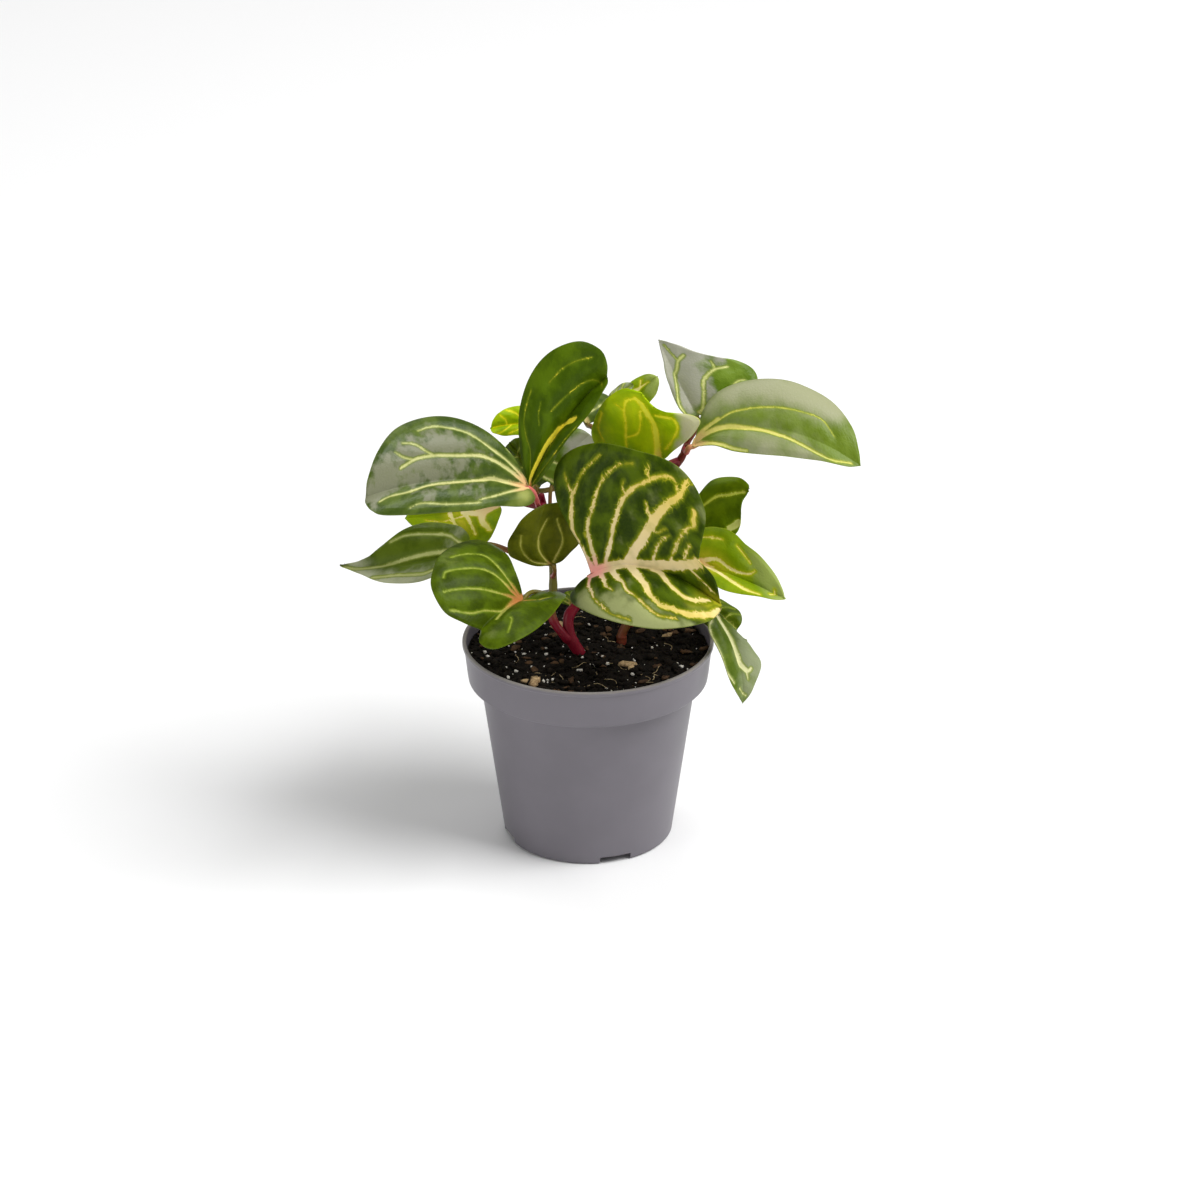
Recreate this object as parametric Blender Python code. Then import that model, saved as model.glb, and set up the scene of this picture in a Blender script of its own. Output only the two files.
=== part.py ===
"""Potted bloodleaf: a young variegated plant in a plastic nursery pot.

Metres, +Z up. The origin is on the pot's axis, on the surface that the pot stands on.
The plant's front is -Y. Sizes below are in millimetres and are scaled by MM.
"""

import math

import bmesh
import bpy
import numpy as np

MM = 0.001
CLEARANCE = 0.3  # between pieces that touch

# Pot
POT_HEIGHT = 100.0
RIM_RADIUS = 60.0
BASE_RADIUS = 40.7
WALL = 1.2
WALL_TOP_RADIUS = 51.8  # outside of the tapered wall, where it meets the rim band
BAND_HEIGHT = 19.0
BAND_FOOT_RADIUS = 57.4
SKIRT_HEIGHT = 3.6  # the floor stands this far above the ground
PAD_RADIUS = 14.0  # flat middle of the floor, which reaches the ground
POT_SIDES = 48
NOTCH_COUNT = 4
NOTCH_ANGLE = -71.0  # degrees about the axis, to the middle of the first notch
NOTCH_WIDTH = 15.5
NOTCH_HEIGHT = 3.3
DRAIN_COUNT = 8
DRAIN_RADIUS = 3.5
DRAIN_CIRCLE = 27.0

# Soil
SOIL_LEVEL = 93.0
SOIL_SWELL = 1.6  # the middle stands this much higher than the edge
SOCKET_DEPTH = 12.0  # how far a stem stands in the soil

# Resolution of the plant's solids
STEM_SIDES = 10
STEM_RINGS = 20
STALK_ROWS = 3
BLADE_ROWS = 9
HALF_COLUMNS = 3

SMALL_LEAF = 40.0  # a shorter leaf than this has a thinner stalk
BLADE_THICKNESS = 0.8
MIDRIB_THICKNESS = 2.2
STALK_RADIUS = 1.3

# Each shoot's middle line in mm, from its foot in the soil to its top, and its radius at both ends.
STEMS = {
    "stem_middle": {
        "line": [(-4, -7, 95.5), (-8.5, -6, 104), (-9, -3, 113), (-2, 2, 121), (14, 12, 141), (31, 18, 167),
                 (42, 16, 183), (47, 12, 194)],
        "radii": (2.9, 1.5),
    },
    "stem_left": {
        "line": [(-7, -6.5, 100), (-12, -8, 106), (-17, -5, 114), (-16.5, 1, 127), (-17, 5, 140),
                 (-19, 8, 156), (-22, 5, 172)],
        "radii": (2.2, 1.6),
    },
    "stem_right": {
        "line": [(16, 6, 95.5), (17, 7, 101), (26, 11, 115), (38, 16, 128), (46, 20, 141), (50, 22, 154)],
        "radii": (2.4, 1.4),
    },
    "stem_back": {
        "line": [(20, 25, 95), (19, 26, 115), (13, 27, 140), (7, 27, 165), (6, 27, 186), (8, 29, 202)],
        "radii": (2.4, 1.4),
    },
}

# Each leaf in mm: three points of its midrib, and how far each half reaches from the midrib where it
# is widest. Left and right are as seen from the base towards the tip, with the upper face on top.
# root: the stem that carries it, and how far along. bend: where the stalk's last handle lies from the
# base. margin: the left and the right edge from base to tip, as (share along the midrib, share of the
# reach). Plainer leaves have these settings instead, each for the left and the right half. widest: where
# along the midrib. full: below 1 is broad and above 1 is slim towards base and tip. lobe and point: how
# far the margin sweeps back past the base, and on past the tip. arch, for all leaves: how far each half
# bulges up.
LEAVES = {
    "leaf_left_upper": {
        "root": ("stem_left", 0.95), "bend": (5, 4, -4),
        "base": (-28, -9, 182), "middle": (-63, -29, 194), "tip": (-101, -50, 194),
        "left": (-2, -14, -11), "right": (-6, 18, 24), "arch": (2, 5),
        "margin": ([(0, 0), (-0.03, 0.15), (-0.05, 0.35), (-0.02, 0.56), (0.06, 0.7), (0.2, 0.8),
                    (0.36, 0.95), (0.64, 0.94), (0.87, 0.76), (0.96, 0.5), (1, 0.2), (1, 0)],
                   [(0, 0), (0.05, 0.2), (0.12, 0.46), (0.25, 0.78), (0.42, 0.97), (0.6, 1),
                    (0.78, 0.88), (0.92, 0.58), (0.99, 0.25), (1, 0)]),
    },
    "leaf_tall": {
        "root": ("stem_left", 0.96), "base": (-27, 3, 177), "middle": (-13, 10, 203), "tip": (9, 22, 225),
        "left": (-12, 3, 30), "right": (8, -7, 4), "arch": (4, 1),
        "margin": ([(0, 0), (-0.01, 0.3), (0.06, 0.58), (0.18, 0.83), (0.36, 0.96), (0.57, 0.98),
                    (0.76, 0.9), (0.92, 0.72), (1.02, 0.42), (1.03, 0.18), (1, 0)],
                   [(0, 0), (0.03, 0.5), (0.2, 0.84), (0.4, 0.98), (0.62, 1.04), (0.8, 0.95),
                    (0.9, 0.7), (0.97, 0.3), (1, 0)]),
    },
    "leaf_top_left_small": {
        "root": ("stem_back", 0.8), "base": (-20, 38, 194), "middle": (-33, 35, 196), "tip": (-46, 29, 196),
        "left": (-2, -6, -4), "right": (-1, 3, 8),
    },
    "leaf_behind_left": {
        "root": ("stem_left", 0.9), "base": (-26, 13, 176), "middle": (-31, 18, 184), "tip": (-37, 23, 191),
        "left": (-7, -6, -3), "right": (6, 2, 6),
    },
    "leaf_behind_tall": {
        "root": ("stem_left", 0.86), "base": (-17, 20, 171), "middle": (-10, 26, 182), "tip": (1, 31, 192),
        "left": (-10, 3, 7), "right": (9, -4, -8), "full": (0.7, 0.7),
    },
    "leaf_centre_olive": {
        "root": ("stem_left", 0.56), "base": (-17, -6, 141), "middle": (-23, -7, 156), "tip": (-20, -3, 171),
        "left": (-15, -5, 1), "right": (18, 12, 0), "arch": (2, 2),
        "margin": ([(0, 0), (0.02, 0.5), (0.12, 0.89), (0.22, 1.07), (0.4, 1), (0.59, 0.84),
                    (0.79, 0.64), (0.95, 0.32), (1, 0)],
                   [(0, 0), (0.03, 0.22), (0.14, 0.6), (0.28, 0.97), (0.47, 1.16), (0.74, 1.04),
                    (0.96, 0.6), (1, 0)]),
    },
    "leaf_front_large": {
        "root": ("stem_middle", 0.46), "bend": (1, 8, -6),
        "base": (2, -16, 141), "middle": (29, -27, 149), "tip": (62, -41, 136),
        "left": (-8, 12, 56), "right": (7, -32, -17), "arch": (5, 4),
        "margin": ([(0, 0), (-0.04, 0.3), (-0.2, 0.75), (-0.18, 1.02), (0.17, 1.02), (0.5, 0.98),
                    (0.85, 0.99), (0.99, 0.8), (0.95, 0.5), (0.89, 0.32), (1, 0.24), (1, 0)],
                   [(0, 0), (-0.12, 0.02), (-0.24, 0.1), (-0.22, 0.32), (-0.06, 0.7), (0.15, 0.95),
                    (0.4, 1.02), (0.65, 0.88), (0.85, 0.6), (0.95, 0.3), (1, 0)]),
    },
    "leaf_right_bright": {
        "root": ("stem_right", 0.72), "base": (50, -8, 143), "middle": (69, -18, 140), "tip": (92, -30, 134),
        "left": (3, 12, 15), "right": (-2, -12, -3),
        "arch": (2, 1),
        "margin": ([(0, 0), (0.03, 0.5), (0.06, 0.9), (0.27, 1.05), (0.43, 1.03), (0.56, 0.88),
                    (0.72, 0.74), (0.88, 0.48), (0.97, 0.2), (1, 0)],
                   [(0, 0), (0.03, 0.45), (0.18, 0.85), (0.39, 1), (0.68, 0.72), (0.85, 0.52),
                    (0.97, 0.15), (1, 0)]),
    },
    "leaf_right_long": {
        "root": ("stem_middle", 0.98), "base": (49, 5, 197), "middle": (85, -6, 210), "tip": (126, -20, 197),
        "left": (2, 21, 16), "right": (1, -9, -9), "arch": (3, 1),
        "margin": ([(0, 0), (0.03, 0.2), (0.06, 0.52), (0.15, 0.82), (0.3, 0.98), (0.48, 1.01),
                    (0.66, 1.02), (0.83, 0.93), (0.95, 0.6), (0.99, 0.25), (1, 0)],
                   [(0, 0), (0.05, 0.2), (0.14, 0.43), (0.26, 0.85), (0.45, 1.07), (0.62, 0.98),
                    (0.8, 0.7), (0.93, 0.38), (1, 0)]),
    },
    "leaf_top_right": {
        "root": ("stem_middle", 0.95), "base": (51, 20, 206), "middle": (41, 26, 224), "tip": (33, 31, 240),
        "left": (-9, -3, -3), "right": (38, 2, 1), "arch": (1, 4),
        "margin": ([(0, 0), (0.03, 0.38), (0.09, 0.52), (0.18, 0.6), (0.33, 0.54), (0.51, 0.43),
                    (0.76, 0.2), (0.93, 0.06), (1, 0)],
                   [(0, 0), (0.05, 0.35), (0.12, 0.62), (0.26, 0.86), (0.42, 0.98), (0.56, 0.97),
                    (0.67, 0.82), (0.73, 0.6), (0.81, 0.38), (0.92, 0.2), (1, 0)]),
    },
    "leaf_top_small": {
        "root": ("stem_back", 0.93), "base": (20, 34, 205), "middle": (26, 38, 212), "tip": (33, 42, 217),
        "left": (-6, 2, 3), "right": (4, -5, -4), "full": (0.9, 0.9),
    },
    "leaf_top_tiny": {
        "root": ("stem_back", 0.97), "base": (10, 24, 209), "middle": (15, 26, 214), "tip": (21, 29, 218),
        "left": (-2, 2, 3), "right": (2, -3, -3), "full": (1.0, 1.0),
    },
    "leaf_lime_young": {
        "root": ("stem_middle", 0.88), "base": (34, 8, 188), "middle": (31, 5, 206), "tip": (25, 5, 224),
        "left": (-29, 15, -6), "right": (23, -6, 1), "arch": (3, 2),
        "margin": ([(0, 0), (0.03, 0.3), (0.06, 0.7), (0.15, 0.98), (0.4, 1.04), (0.65, 0.88),
                    (0.88, 0.65), (1.03, 0.38), (1.08, 0.18), (1, 0)],
                   [(0, 0), (0.07, 0.13), (0.21, 0.33), (0.38, 0.66), (0.53, 0.88), (0.66, 1),
                    (0.74, 0.85), (0.76, 0.5), (0.78, 0.2), (0.9, 0.04), (1, 0)]),
    },
    "leaf_right_middle": {
        "root": ("stem_right", 0.95), "base": (52, 17, 161), "middle": (64, 16, 166), "tip": (76, 14, 171),
        "left": (-1, 8, 6), "right": (3, -8, -15),
        "margin": ([(0, 0), (0.1, 0.6), (0.31, 1.1), (0.64, 1.05), (0.9, 0.6), (1.02, 0.2), (1, 0)],
                   [(0, 0), (0.02, 0.4), (0.08, 0.8), (0.3, 1.02), (0.54, 1.1), (0.7, 0.94),
                    (0.79, 0.6), (0.86, 0.28), (0.96, 0.12), (1, 0)]),
    },
    "leaf_right_hanging": {
        "root": ("stem_right", 0.5), "base": (60, -8, 118), "middle": (70, -17, 100), "tip": (73, -24, 77),
        "left": (11, 6, -5), "right": (-9, -8, 1),
        "margin": ([(0, 0), (0.13, 0.2), (0.28, 0.4), (0.4, 0.78), (0.52, 1.02), (0.69, 0.76),
                    (0.85, 0.4), (0.96, 0.12), (1, 0)],
                   [(0, 0), (0.06, 0.4), (0.12, 0.82), (0.26, 0.89), (0.53, 0.85), (0.76, 0.65),
                    (0.9, 0.38), (1, 0)]),
    },
    "leaf_right_hanging_back": {
        "root": ("stem_right", 0.42), "base": (54, 8, 113), "middle": (63, 4, 110), "tip": (71, -1, 105),
        "left": (6, 5, 3), "right": (0, -4, -8),
    },
    "leaf_left_pointed": {
        "root": ("stem_left", 0.64), "base": (-56, 2, 146), "middle": (-84, -8, 143), "tip": (-116, -18, 146),
        "left": (-6, -12, -7), "right": (2, 14, 17),
        "arch": (1, 3),
        "margin": ([(0, 0), (0.03, 0.5), (0.12, 0.78), (0.24, 0.92), (0.39, 0.98), (0.6, 0.81),
                    (0.78, 0.48), (0.93, 0.15), (1, 0)],
                   [(0, 0), (0.02, 0.25), (0.1, 0.5), (0.2, 0.66), (0.33, 0.8), (0.46, 0.82),
                    (0.6, 0.7), (0.74, 0.38), (0.84, 0.12), (0.93, 0.05), (1, 0)]),
    },
    "leaf_front_left": {
        "root": ("stem_left", 0.45), "bend": (4, 4, 5),
        "base": (-30, -34, 136), "middle": (-40, -48, 136), "tip": (-49, -60, 132),
        "left": (16, -14, -1), "right": (-27, 8, 24), "arch": (2, 5),
        "margin": ([(0, 0), (-0.35, 0.02), (-0.62, 0.1), (-0.6, 0.4), (-0.3, 0.75), (0.1, 0.98),
                    (0.6, 1.05), (0.98, 0.95), (1.25, 0.65), (1.25, 0.25), (1, 0)],
                   [(0, 0), (-0.06, 0.12), (-0.18, 0.38), (-0.36, 0.66), (-0.38, 0.84), (-0.28, 1),
                    (-0.03, 1.06), (0.4, 1.05), (0.8, 0.96), (1.12, 0.82), (1.3, 0.52), (1.2, 0.24),
                    (1, 0)]),
    },
    "leaf_left_yellow": {
        "root": ("stem_left", 0.93), "base": (-43, 15, 164), "middle": (-65, 18, 157), "tip": (-87, 19, 154),
        "left": (4, -6, -14), "right": (0, 5, 6),
        "margin": ([(0, 0), (-0.03, 0.25), (0.03, 0.55), (0.1, 0.8), (0.2, 1.06), (0.35, 1.15),
                    (0.54, 0.96), (0.78, 0.57), (0.94, 0.22), (1, 0)],
                   [(0, 0), (0.06, 0.3), (0.18, 0.6), (0.45, 0.91), (0.73, 0.89), (0.93, 0.35),
                    (1, 0)]),
    },
    "leaf_low_dark": {
        "root": ("stem_middle", 0.3), "base": (-8, 8, 113), "middle": (-8, 12, 115), "tip": (-5, 16, 117),
        "left": (-5, 1, 0), "right": (5, -1, 1),
    },
    "leaf_back_top": {
        "root": ("stem_back", 0.9), "base": (0, 40, 194), "middle": (-8, 56, 200), "tip": (-14, 76, 194),
        "left": (-19, -3, -2), "right": (19, 5, -2), "full": (0.7, 0.7), "arch": (3, 3),
    },
    "leaf_back_upper_right": {
        "root": ("stem_back", 0.8), "base": (22, 36, 185), "middle": (33, 52, 188), "tip": (40, 72, 182),
        "left": (-15, 8, -2), "right": (16, -5, -2), "full": (0.7, 0.7), "arch": (3, 3),
    },
    "leaf_back_upper_left": {
        "root": ("stem_back", 0.66), "base": (-24, 36, 162), "middle": (-46, 48, 168), "tip": (-68, 64, 161),
        "left": (-9, -15, -1), "right": (10, 17, -2), "full": (0.7, 0.7), "arch": (3, 3),
    },
    "leaf_back_middle": {
        "root": ("stem_back", 0.56), "base": (6, 44, 152), "middle": (8, 64, 156), "tip": (8, 88, 149),
        "left": (-20, 0, -3), "right": (20, 2, -3), "full": (0.65, 0.65), "arch": (3, 3),
    },
    "leaf_back_right": {
        "root": ("stem_back", 0.46), "base": (26, 38, 136), "middle": (40, 50, 137), "tip": (54, 66, 129),
        "left": (-10, 14, -2), "right": (11, -12, -3), "full": (0.7, 0.7), "arch": (3, 2),
    },
    "leaf_back_low_right": {
        "root": ("stem_right", 0.6), "base": (48, 34, 118), "middle": (60, 44, 119), "tip": (70, 58, 112),
        "left": (-9, 10, -1), "right": (11, -9, -3), "full": (0.75, 0.75), "arch": (2, 2),
    },
}

PLAIN_HALF = {  # where a leaf doesn't say otherwise
    "widest": (0.45, 0.45), "full": (0.8, 0.8), "lobe": (0.15, 0.15), "point": (0.0, 0.0),
    "arch": (1.5, 1.5),
}

COLOURS = {  # base colour, roughness
    "pot": ((0.17, 0.165, 0.19), 0.45),
    "soil": ((0.02, 0.014, 0.01), 0.95),
    "stem": ((0.35, 0.03, 0.07), 0.45),
    "leaf": ((0.09, 0.17, 0.01), 0.35),
}


def clear_scene():
    for item in list(bpy.data.objects):
        bpy.data.objects.remove(item, do_unlink=True)


def material(name):
    """One Principled material for each kind of piece."""
    made = bpy.data.materials.get(name)
    if made:
        return made
    colour, roughness = COLOURS[name]
    made = bpy.data.materials.new(name)
    made.use_nodes = True
    shader = made.node_tree.nodes["Principled BSDF"]
    shader.inputs["Base Color"].default_value = (*colour, 1.0)
    shader.inputs["Roughness"].default_value = roughness
    shader.inputs["Metallic"].default_value = 0.0
    return made


def add_object(name, mesh_edit, kind, sharp_angle=35.0):
    """The bmesh becomes an object in metres, with faces pointing out and round parts smooth."""
    bmesh.ops.recalc_face_normals(mesh_edit, faces=mesh_edit.faces)
    mesh = bpy.data.meshes.new(name)
    mesh_edit.to_mesh(mesh)
    mesh_edit.free()
    mesh.materials.append(material(kind))
    mesh.shade_smooth()
    mesh.set_sharp_from_angle(angle=math.radians(sharp_angle))
    item = bpy.data.objects.new(name, mesh)
    bpy.context.scene.collection.objects.link(item)
    return item


def metres(point):
    return tuple(float(c) * MM for c in point)


def turned(name, profile, kind, sides=POT_SIDES):
    """A closed body turned about Z from (radius, height) points in mm; ends on the axis close it."""
    shape = bmesh.new()
    points = [shape.verts.new((r * MM, 0.0, z * MM)) for r, z in profile]
    edges = [shape.edges.new(pair) for pair in zip(points, points[1:])]
    bmesh.ops.spin(shape, geom=points + edges, cent=(0, 0, 0), axis=(0, 0, 1),
                   angle=2 * math.pi, steps=sides, use_merge=True)
    bmesh.ops.remove_doubles(shape, verts=shape.verts, dist=0.01 * MM)
    return add_object(name, shape, kind)


def cutter(name, mesh_edit):
    """A helper that only cuts: it is left out of the part."""
    item = add_object(name, mesh_edit, "pot")
    item.hide_render = True
    item.display_type = "WIRE"
    return item


def boolean(item, tool, operation="DIFFERENCE"):
    step = item.modifiers.new(tool.name, "BOOLEAN")
    step.operation = operation
    step.solver = "EXACT"
    step.object = tool


# ---------------------------------------------------------------- pot and soil

def wall_radius(height):
    """Outside radius of the tapered wall."""
    share = height / (POT_HEIGHT - BAND_HEIGHT)
    return BASE_RADIUS + share * (WALL_TOP_RADIUS - BASE_RADIUS)


def band_radius(height):
    """Outside radius of the rim band, which flares a little."""
    share = (height - (POT_HEIGHT - BAND_HEIGHT)) / BAND_HEIGHT
    return BAND_FOOT_RADIUS + share * (RIM_RADIUS - 0.6 - BAND_FOOT_RADIUS)


def pot_profile():
    """The section of the wall, from the middle of the underside, up the outside, and down the inside."""
    band = POT_HEIGHT - BAND_HEIGHT
    floor = SKIRT_HEIGHT + WALL
    underside = [(0, 0), (PAD_RADIUS, 0), (PAD_RADIUS + 0.6, SKIRT_HEIGHT),
                 (BASE_RADIUS - WALL - 0.3, SKIRT_HEIGHT), (BASE_RADIUS - WALL - 0.3, 0)]
    outside = [(BASE_RADIUS - 0.4, 0), (BASE_RADIUS + 0.1, 0.7), (wall_radius(40), 40),
               (wall_radius(band - 1), band - 1), (BAND_FOOT_RADIUS - 0.8, band - 0.4),
               (BAND_FOOT_RADIUS, band + 0.6), (band_radius(97.6), 97.6), (RIM_RADIUS, 98.2),
               (RIM_RADIUS, 99.5), (RIM_RADIUS - 0.5, POT_HEIGHT)]
    inside = [(RIM_RADIUS - 1.5, POT_HEIGHT), (RIM_RADIUS - 2.0, 99.3),
              (BAND_FOOT_RADIUS - WALL, band + 1.6), (BAND_FOOT_RADIUS - WALL - 0.8, band + 0.9),
              (wall_radius(band) - WALL + 0.3, band + 0.3), (wall_radius(40) - WALL, 40),
              (wall_radius(floor) - WALL, floor)]
    floor_top = [(PAD_RADIUS - WALL, floor), (PAD_RADIUS - WALL - 0.4, WALL), (0, WALL)]
    return underside + outside + inside + floor_top


def make_pot():
    pot = turned("pot", pot_profile(), "pot")
    notches = bmesh.new()
    for k in range(NOTCH_COUNT):
        angle = math.radians(NOTCH_ANGLE) + k * 2 * math.pi / NOTCH_COUNT
        made = bmesh.ops.create_cube(notches, size=1.0)["verts"]
        bmesh.ops.scale(notches, verts=made, vec=(12 * MM, NOTCH_WIDTH * MM, 2 * NOTCH_HEIGHT * MM))
        bmesh.ops.translate(notches, verts=made, vec=((BASE_RADIUS + 1.5) * MM, 0, 0))
        turn = (math.cos(angle), math.sin(angle))
        for vert in made:
            x, y = vert.co.x, vert.co.y
            vert.co.x, vert.co.y = x * turn[0] - y * turn[1], x * turn[1] + y * turn[0]
    boolean(pot, cutter("notch_cutter", notches))
    drains = bmesh.new()
    for k in range(DRAIN_COUNT):
        angle = 2 * math.pi * (k + 0.5) / DRAIN_COUNT
        made = bmesh.ops.create_cone(drains, cap_ends=True, segments=16, radius1=DRAIN_RADIUS * MM,
                                     radius2=DRAIN_RADIUS * MM, depth=8 * MM)["verts"]
        place = (DRAIN_CIRCLE * math.cos(angle), DRAIN_CIRCLE * math.sin(angle), SKIRT_HEIGHT + WALL / 2)
        bmesh.ops.translate(drains, verts=made, vec=metres(place))
    boolean(pot, cutter("drain_cutter", drains))


def soil_height(x, y):
    """Height of the soil's uneven surface, in mm."""
    swell = SOIL_SWELL * (1 - (x * x + y * y) / 58.0**2)
    bumps = 0.45 * math.sin(0.21 * x + 1.0) * math.cos(0.17 * y) + 0.3 * math.sin(0.33 * (x - y))
    return SOIL_LEVEL + swell + bumps


def make_soil():
    """One body that fills the pot to just under the lip and keeps clear of its wall."""
    gap = WALL + CLEARANCE
    band = POT_HEIGHT - BAND_HEIGHT
    floor = SKIRT_HEIGHT + gap
    edge = band_radius(SOIL_LEVEL) - gap - 0.4
    side = [(PAD_RADIUS - gap - 0.5, floor), (wall_radius(floor) - gap, floor), (wall_radius(40) - gap, 40),
            (wall_radius(band) - gap, band + 1.0), (BAND_FOOT_RADIUS - gap - 0.9, band + 1.6),
            (BAND_FOOT_RADIUS - gap - 0.1, band + 2.2), (edge, SOIL_LEVEL)]
    under = [(0, WALL + CLEARANCE), (PAD_RADIUS - gap - 0.8, WALL + CLEARANCE)]
    top = [(edge * share, SOIL_LEVEL) for share in (0.9, 0.75, 0.6, 0.45, 0.3, 0.15)] + [(0, SOIL_LEVEL)]
    soil = turned("soil", under + side + top, "soil")
    for vert in soil.data.vertices:
        radius = math.hypot(vert.co.x, vert.co.y) / MM
        if abs(vert.co.z / MM - SOIL_LEVEL) < 0.01 and radius < 0.95 * edge:
            vert.co.z = soil_height(vert.co.x / MM, vert.co.y / MM) * MM
    sockets = bmesh.new()
    for name, stem in STEMS.items():
        if name == "stem_left":  # it grows from the middle stem, above the soil
            continue
        x, y, _ = stem["line"][0]
        made = bmesh.ops.create_cone(sockets, cap_ends=True, segments=STEM_SIDES,
                                     radius1=(stem["radii"][0] + 2 * CLEARANCE) * MM,
                                     radius2=(stem["radii"][0] + 2 * CLEARANCE) * MM,
                                     depth=2 * (SOCKET_DEPTH + CLEARANCE) * MM)["verts"]
        bmesh.ops.translate(sockets, verts=made, vec=metres((x, y, soil_height(x, y))))
    boolean(soil, cutter("socket_cutter", sockets))


# ---------------------------------------------------------------- stems

def smooth_line(points, shares):
    """Points at the given shares of a smooth curve through all the points."""
    points = np.array(points, float)
    ends = np.vstack([2 * points[0] - points[1], points, 2 * points[-1] - points[-2]])
    places = []
    for share in shares:
        position = min(share * (len(points) - 1), len(points) - 1 - 1e-9)
        k, t = int(position), position - int(position)
        a, b, c, d = ends[k:k + 4]
        places.append(0.5 * (2 * b + (c - a) * t + (2 * a - 5 * b + 4 * c - d) * t**2
                             + (3 * b - a - 3 * c + d) * t**3))
    return np.array(places)


def unit(vector):
    return vector / np.linalg.norm(vector)


def stem_radius(stem, share):
    """Radius along a stem, thinner towards the top and swollen a little where leaves grow."""
    start, end = stem["radii"]
    return start + (end - start) * share + 0.25 * math.sin(share * 5 * math.pi) ** 8


def tube(shape, centres, radii, sides):
    """A closed round tube through the centres, added to the bmesh."""
    across = np.array((1.0, 0.0, 0.0))
    rings = []
    for k, (centre, radius) in enumerate(zip(centres, radii)):
        along = unit(centres[min(k + 1, len(centres) - 1)] - centres[max(k - 1, 0)])
        across = unit(across - along * across.dot(along))
        other = np.cross(along, across)
        turns = [2 * math.pi * j / sides for j in range(sides)]
        rings.append([shape.verts.new(metres(centre + radius * (math.cos(t) * across + math.sin(t) * other)))
                      for t in turns])
    for low, high in zip(rings, rings[1:]):
        for j in range(sides):
            shape.faces.new((low[j], low[(j + 1) % sides], high[(j + 1) % sides], high[j]))
    shape.faces.new(rings[0][::-1])
    shape.faces.new(rings[-1])


def stem_points(name, shares):
    return smooth_line(STEMS[name]["line"], shares)


def make_stem(name, buried):
    stem = STEMS[name]
    shares = np.linspace(0, 1, STEM_RINGS)
    centres = stem_points(name, shares)
    radii = [stem_radius(stem, s) for s in shares]
    if buried:
        x, y, _ = stem["line"][0]
        foot = np.array((x, y, soil_height(x, y) - SOCKET_DEPTH))
        centres, radii = np.vstack([foot, centres]), [radii[0]] + radii
    shape = bmesh.new()
    tube(shape, centres, radii, STEM_SIDES)
    return add_object(name, shape, "stem")


def make_stems():
    """The middle shoot forks just above the soil, so its left arm is one piece with it."""
    fork = make_stem("stem_middle", buried=True)
    arm = make_stem("stem_left", buried=False)
    arm.name = "fork_arm"
    arm.hide_render = True
    arm.display_type = "WIRE"
    boolean(fork, arm, "UNION")
    fork.name = "stem_forked"
    make_stem("stem_right", buried=True)
    make_stem("stem_back", buried=True)


# ---------------------------------------------------------------- leaves

def outline(leaf, side, turn):
    """A half's margin at turn 0 (base) to pi (tip): share along the midrib, and share of the reach."""
    if "margin" in leaf:
        return smooth_line(leaf["margin"][side], (turn / math.pi,))[0]
    settings = ("widest", "full", "lobe", "point")
    widest, full, lobe, point = (leaf.get(key, PLAIN_HALF[key])[side] for key in settings)
    along = ((1 - math.cos(turn)) / 2) ** (math.log(widest) / math.log(0.5))
    along -= lobe * math.sin(turn) * ((1 + math.cos(turn)) / 2) ** 2
    along += point * math.sin(turn) * ((1 - math.cos(turn)) / 2) ** 2
    return along, math.sin(turn) ** full


def blade_point(leaf, side, along, out):
    """The blade's middle surface in mm. along: 0 base to 1 tip. out: 0 midrib to 1 widest margin."""
    base, middle, tip = (np.array(leaf[k], float) for k in ("base", "middle", "tip"))
    along, out = np.asarray(along, float)[..., None], np.asarray(out, float)[..., None]
    rib = (base * (1 - along) * (1 - 2 * along) + middle * 4 * along * (1 - along)
           + tip * along * (2 * along - 1))
    reach = np.array(leaf[("left", "right")[side]], float)
    up = np.cross(tip - base, reach) * (1 if side == 0 else -1)
    arch = leaf.get("arch", PLAIN_HALF["arch"])[side]
    return rib + reach * out + unit(up) * arch * 4 * out * (1 - out)


def blade_rows(leaf, rows, columns):
    """Rows of (left margin to right margin) points that follow the veins, without base and tip."""
    made = []
    for turn in np.linspace(0, math.pi, rows + 2)[1:-1]:
        start = (1 - math.cos(turn)) / 2
        halves = []
        for side in (0, 1):
            end_along, end_out = outline(leaf, side, turn)
            step = np.linspace(0, 1, columns + 1)
            halves.append(blade_point(leaf, side, start + (end_along - start) * step**1.4, end_out * step))
        made.append(np.vstack([halves[0][::-1], halves[1][1:]]))
    return made


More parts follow.
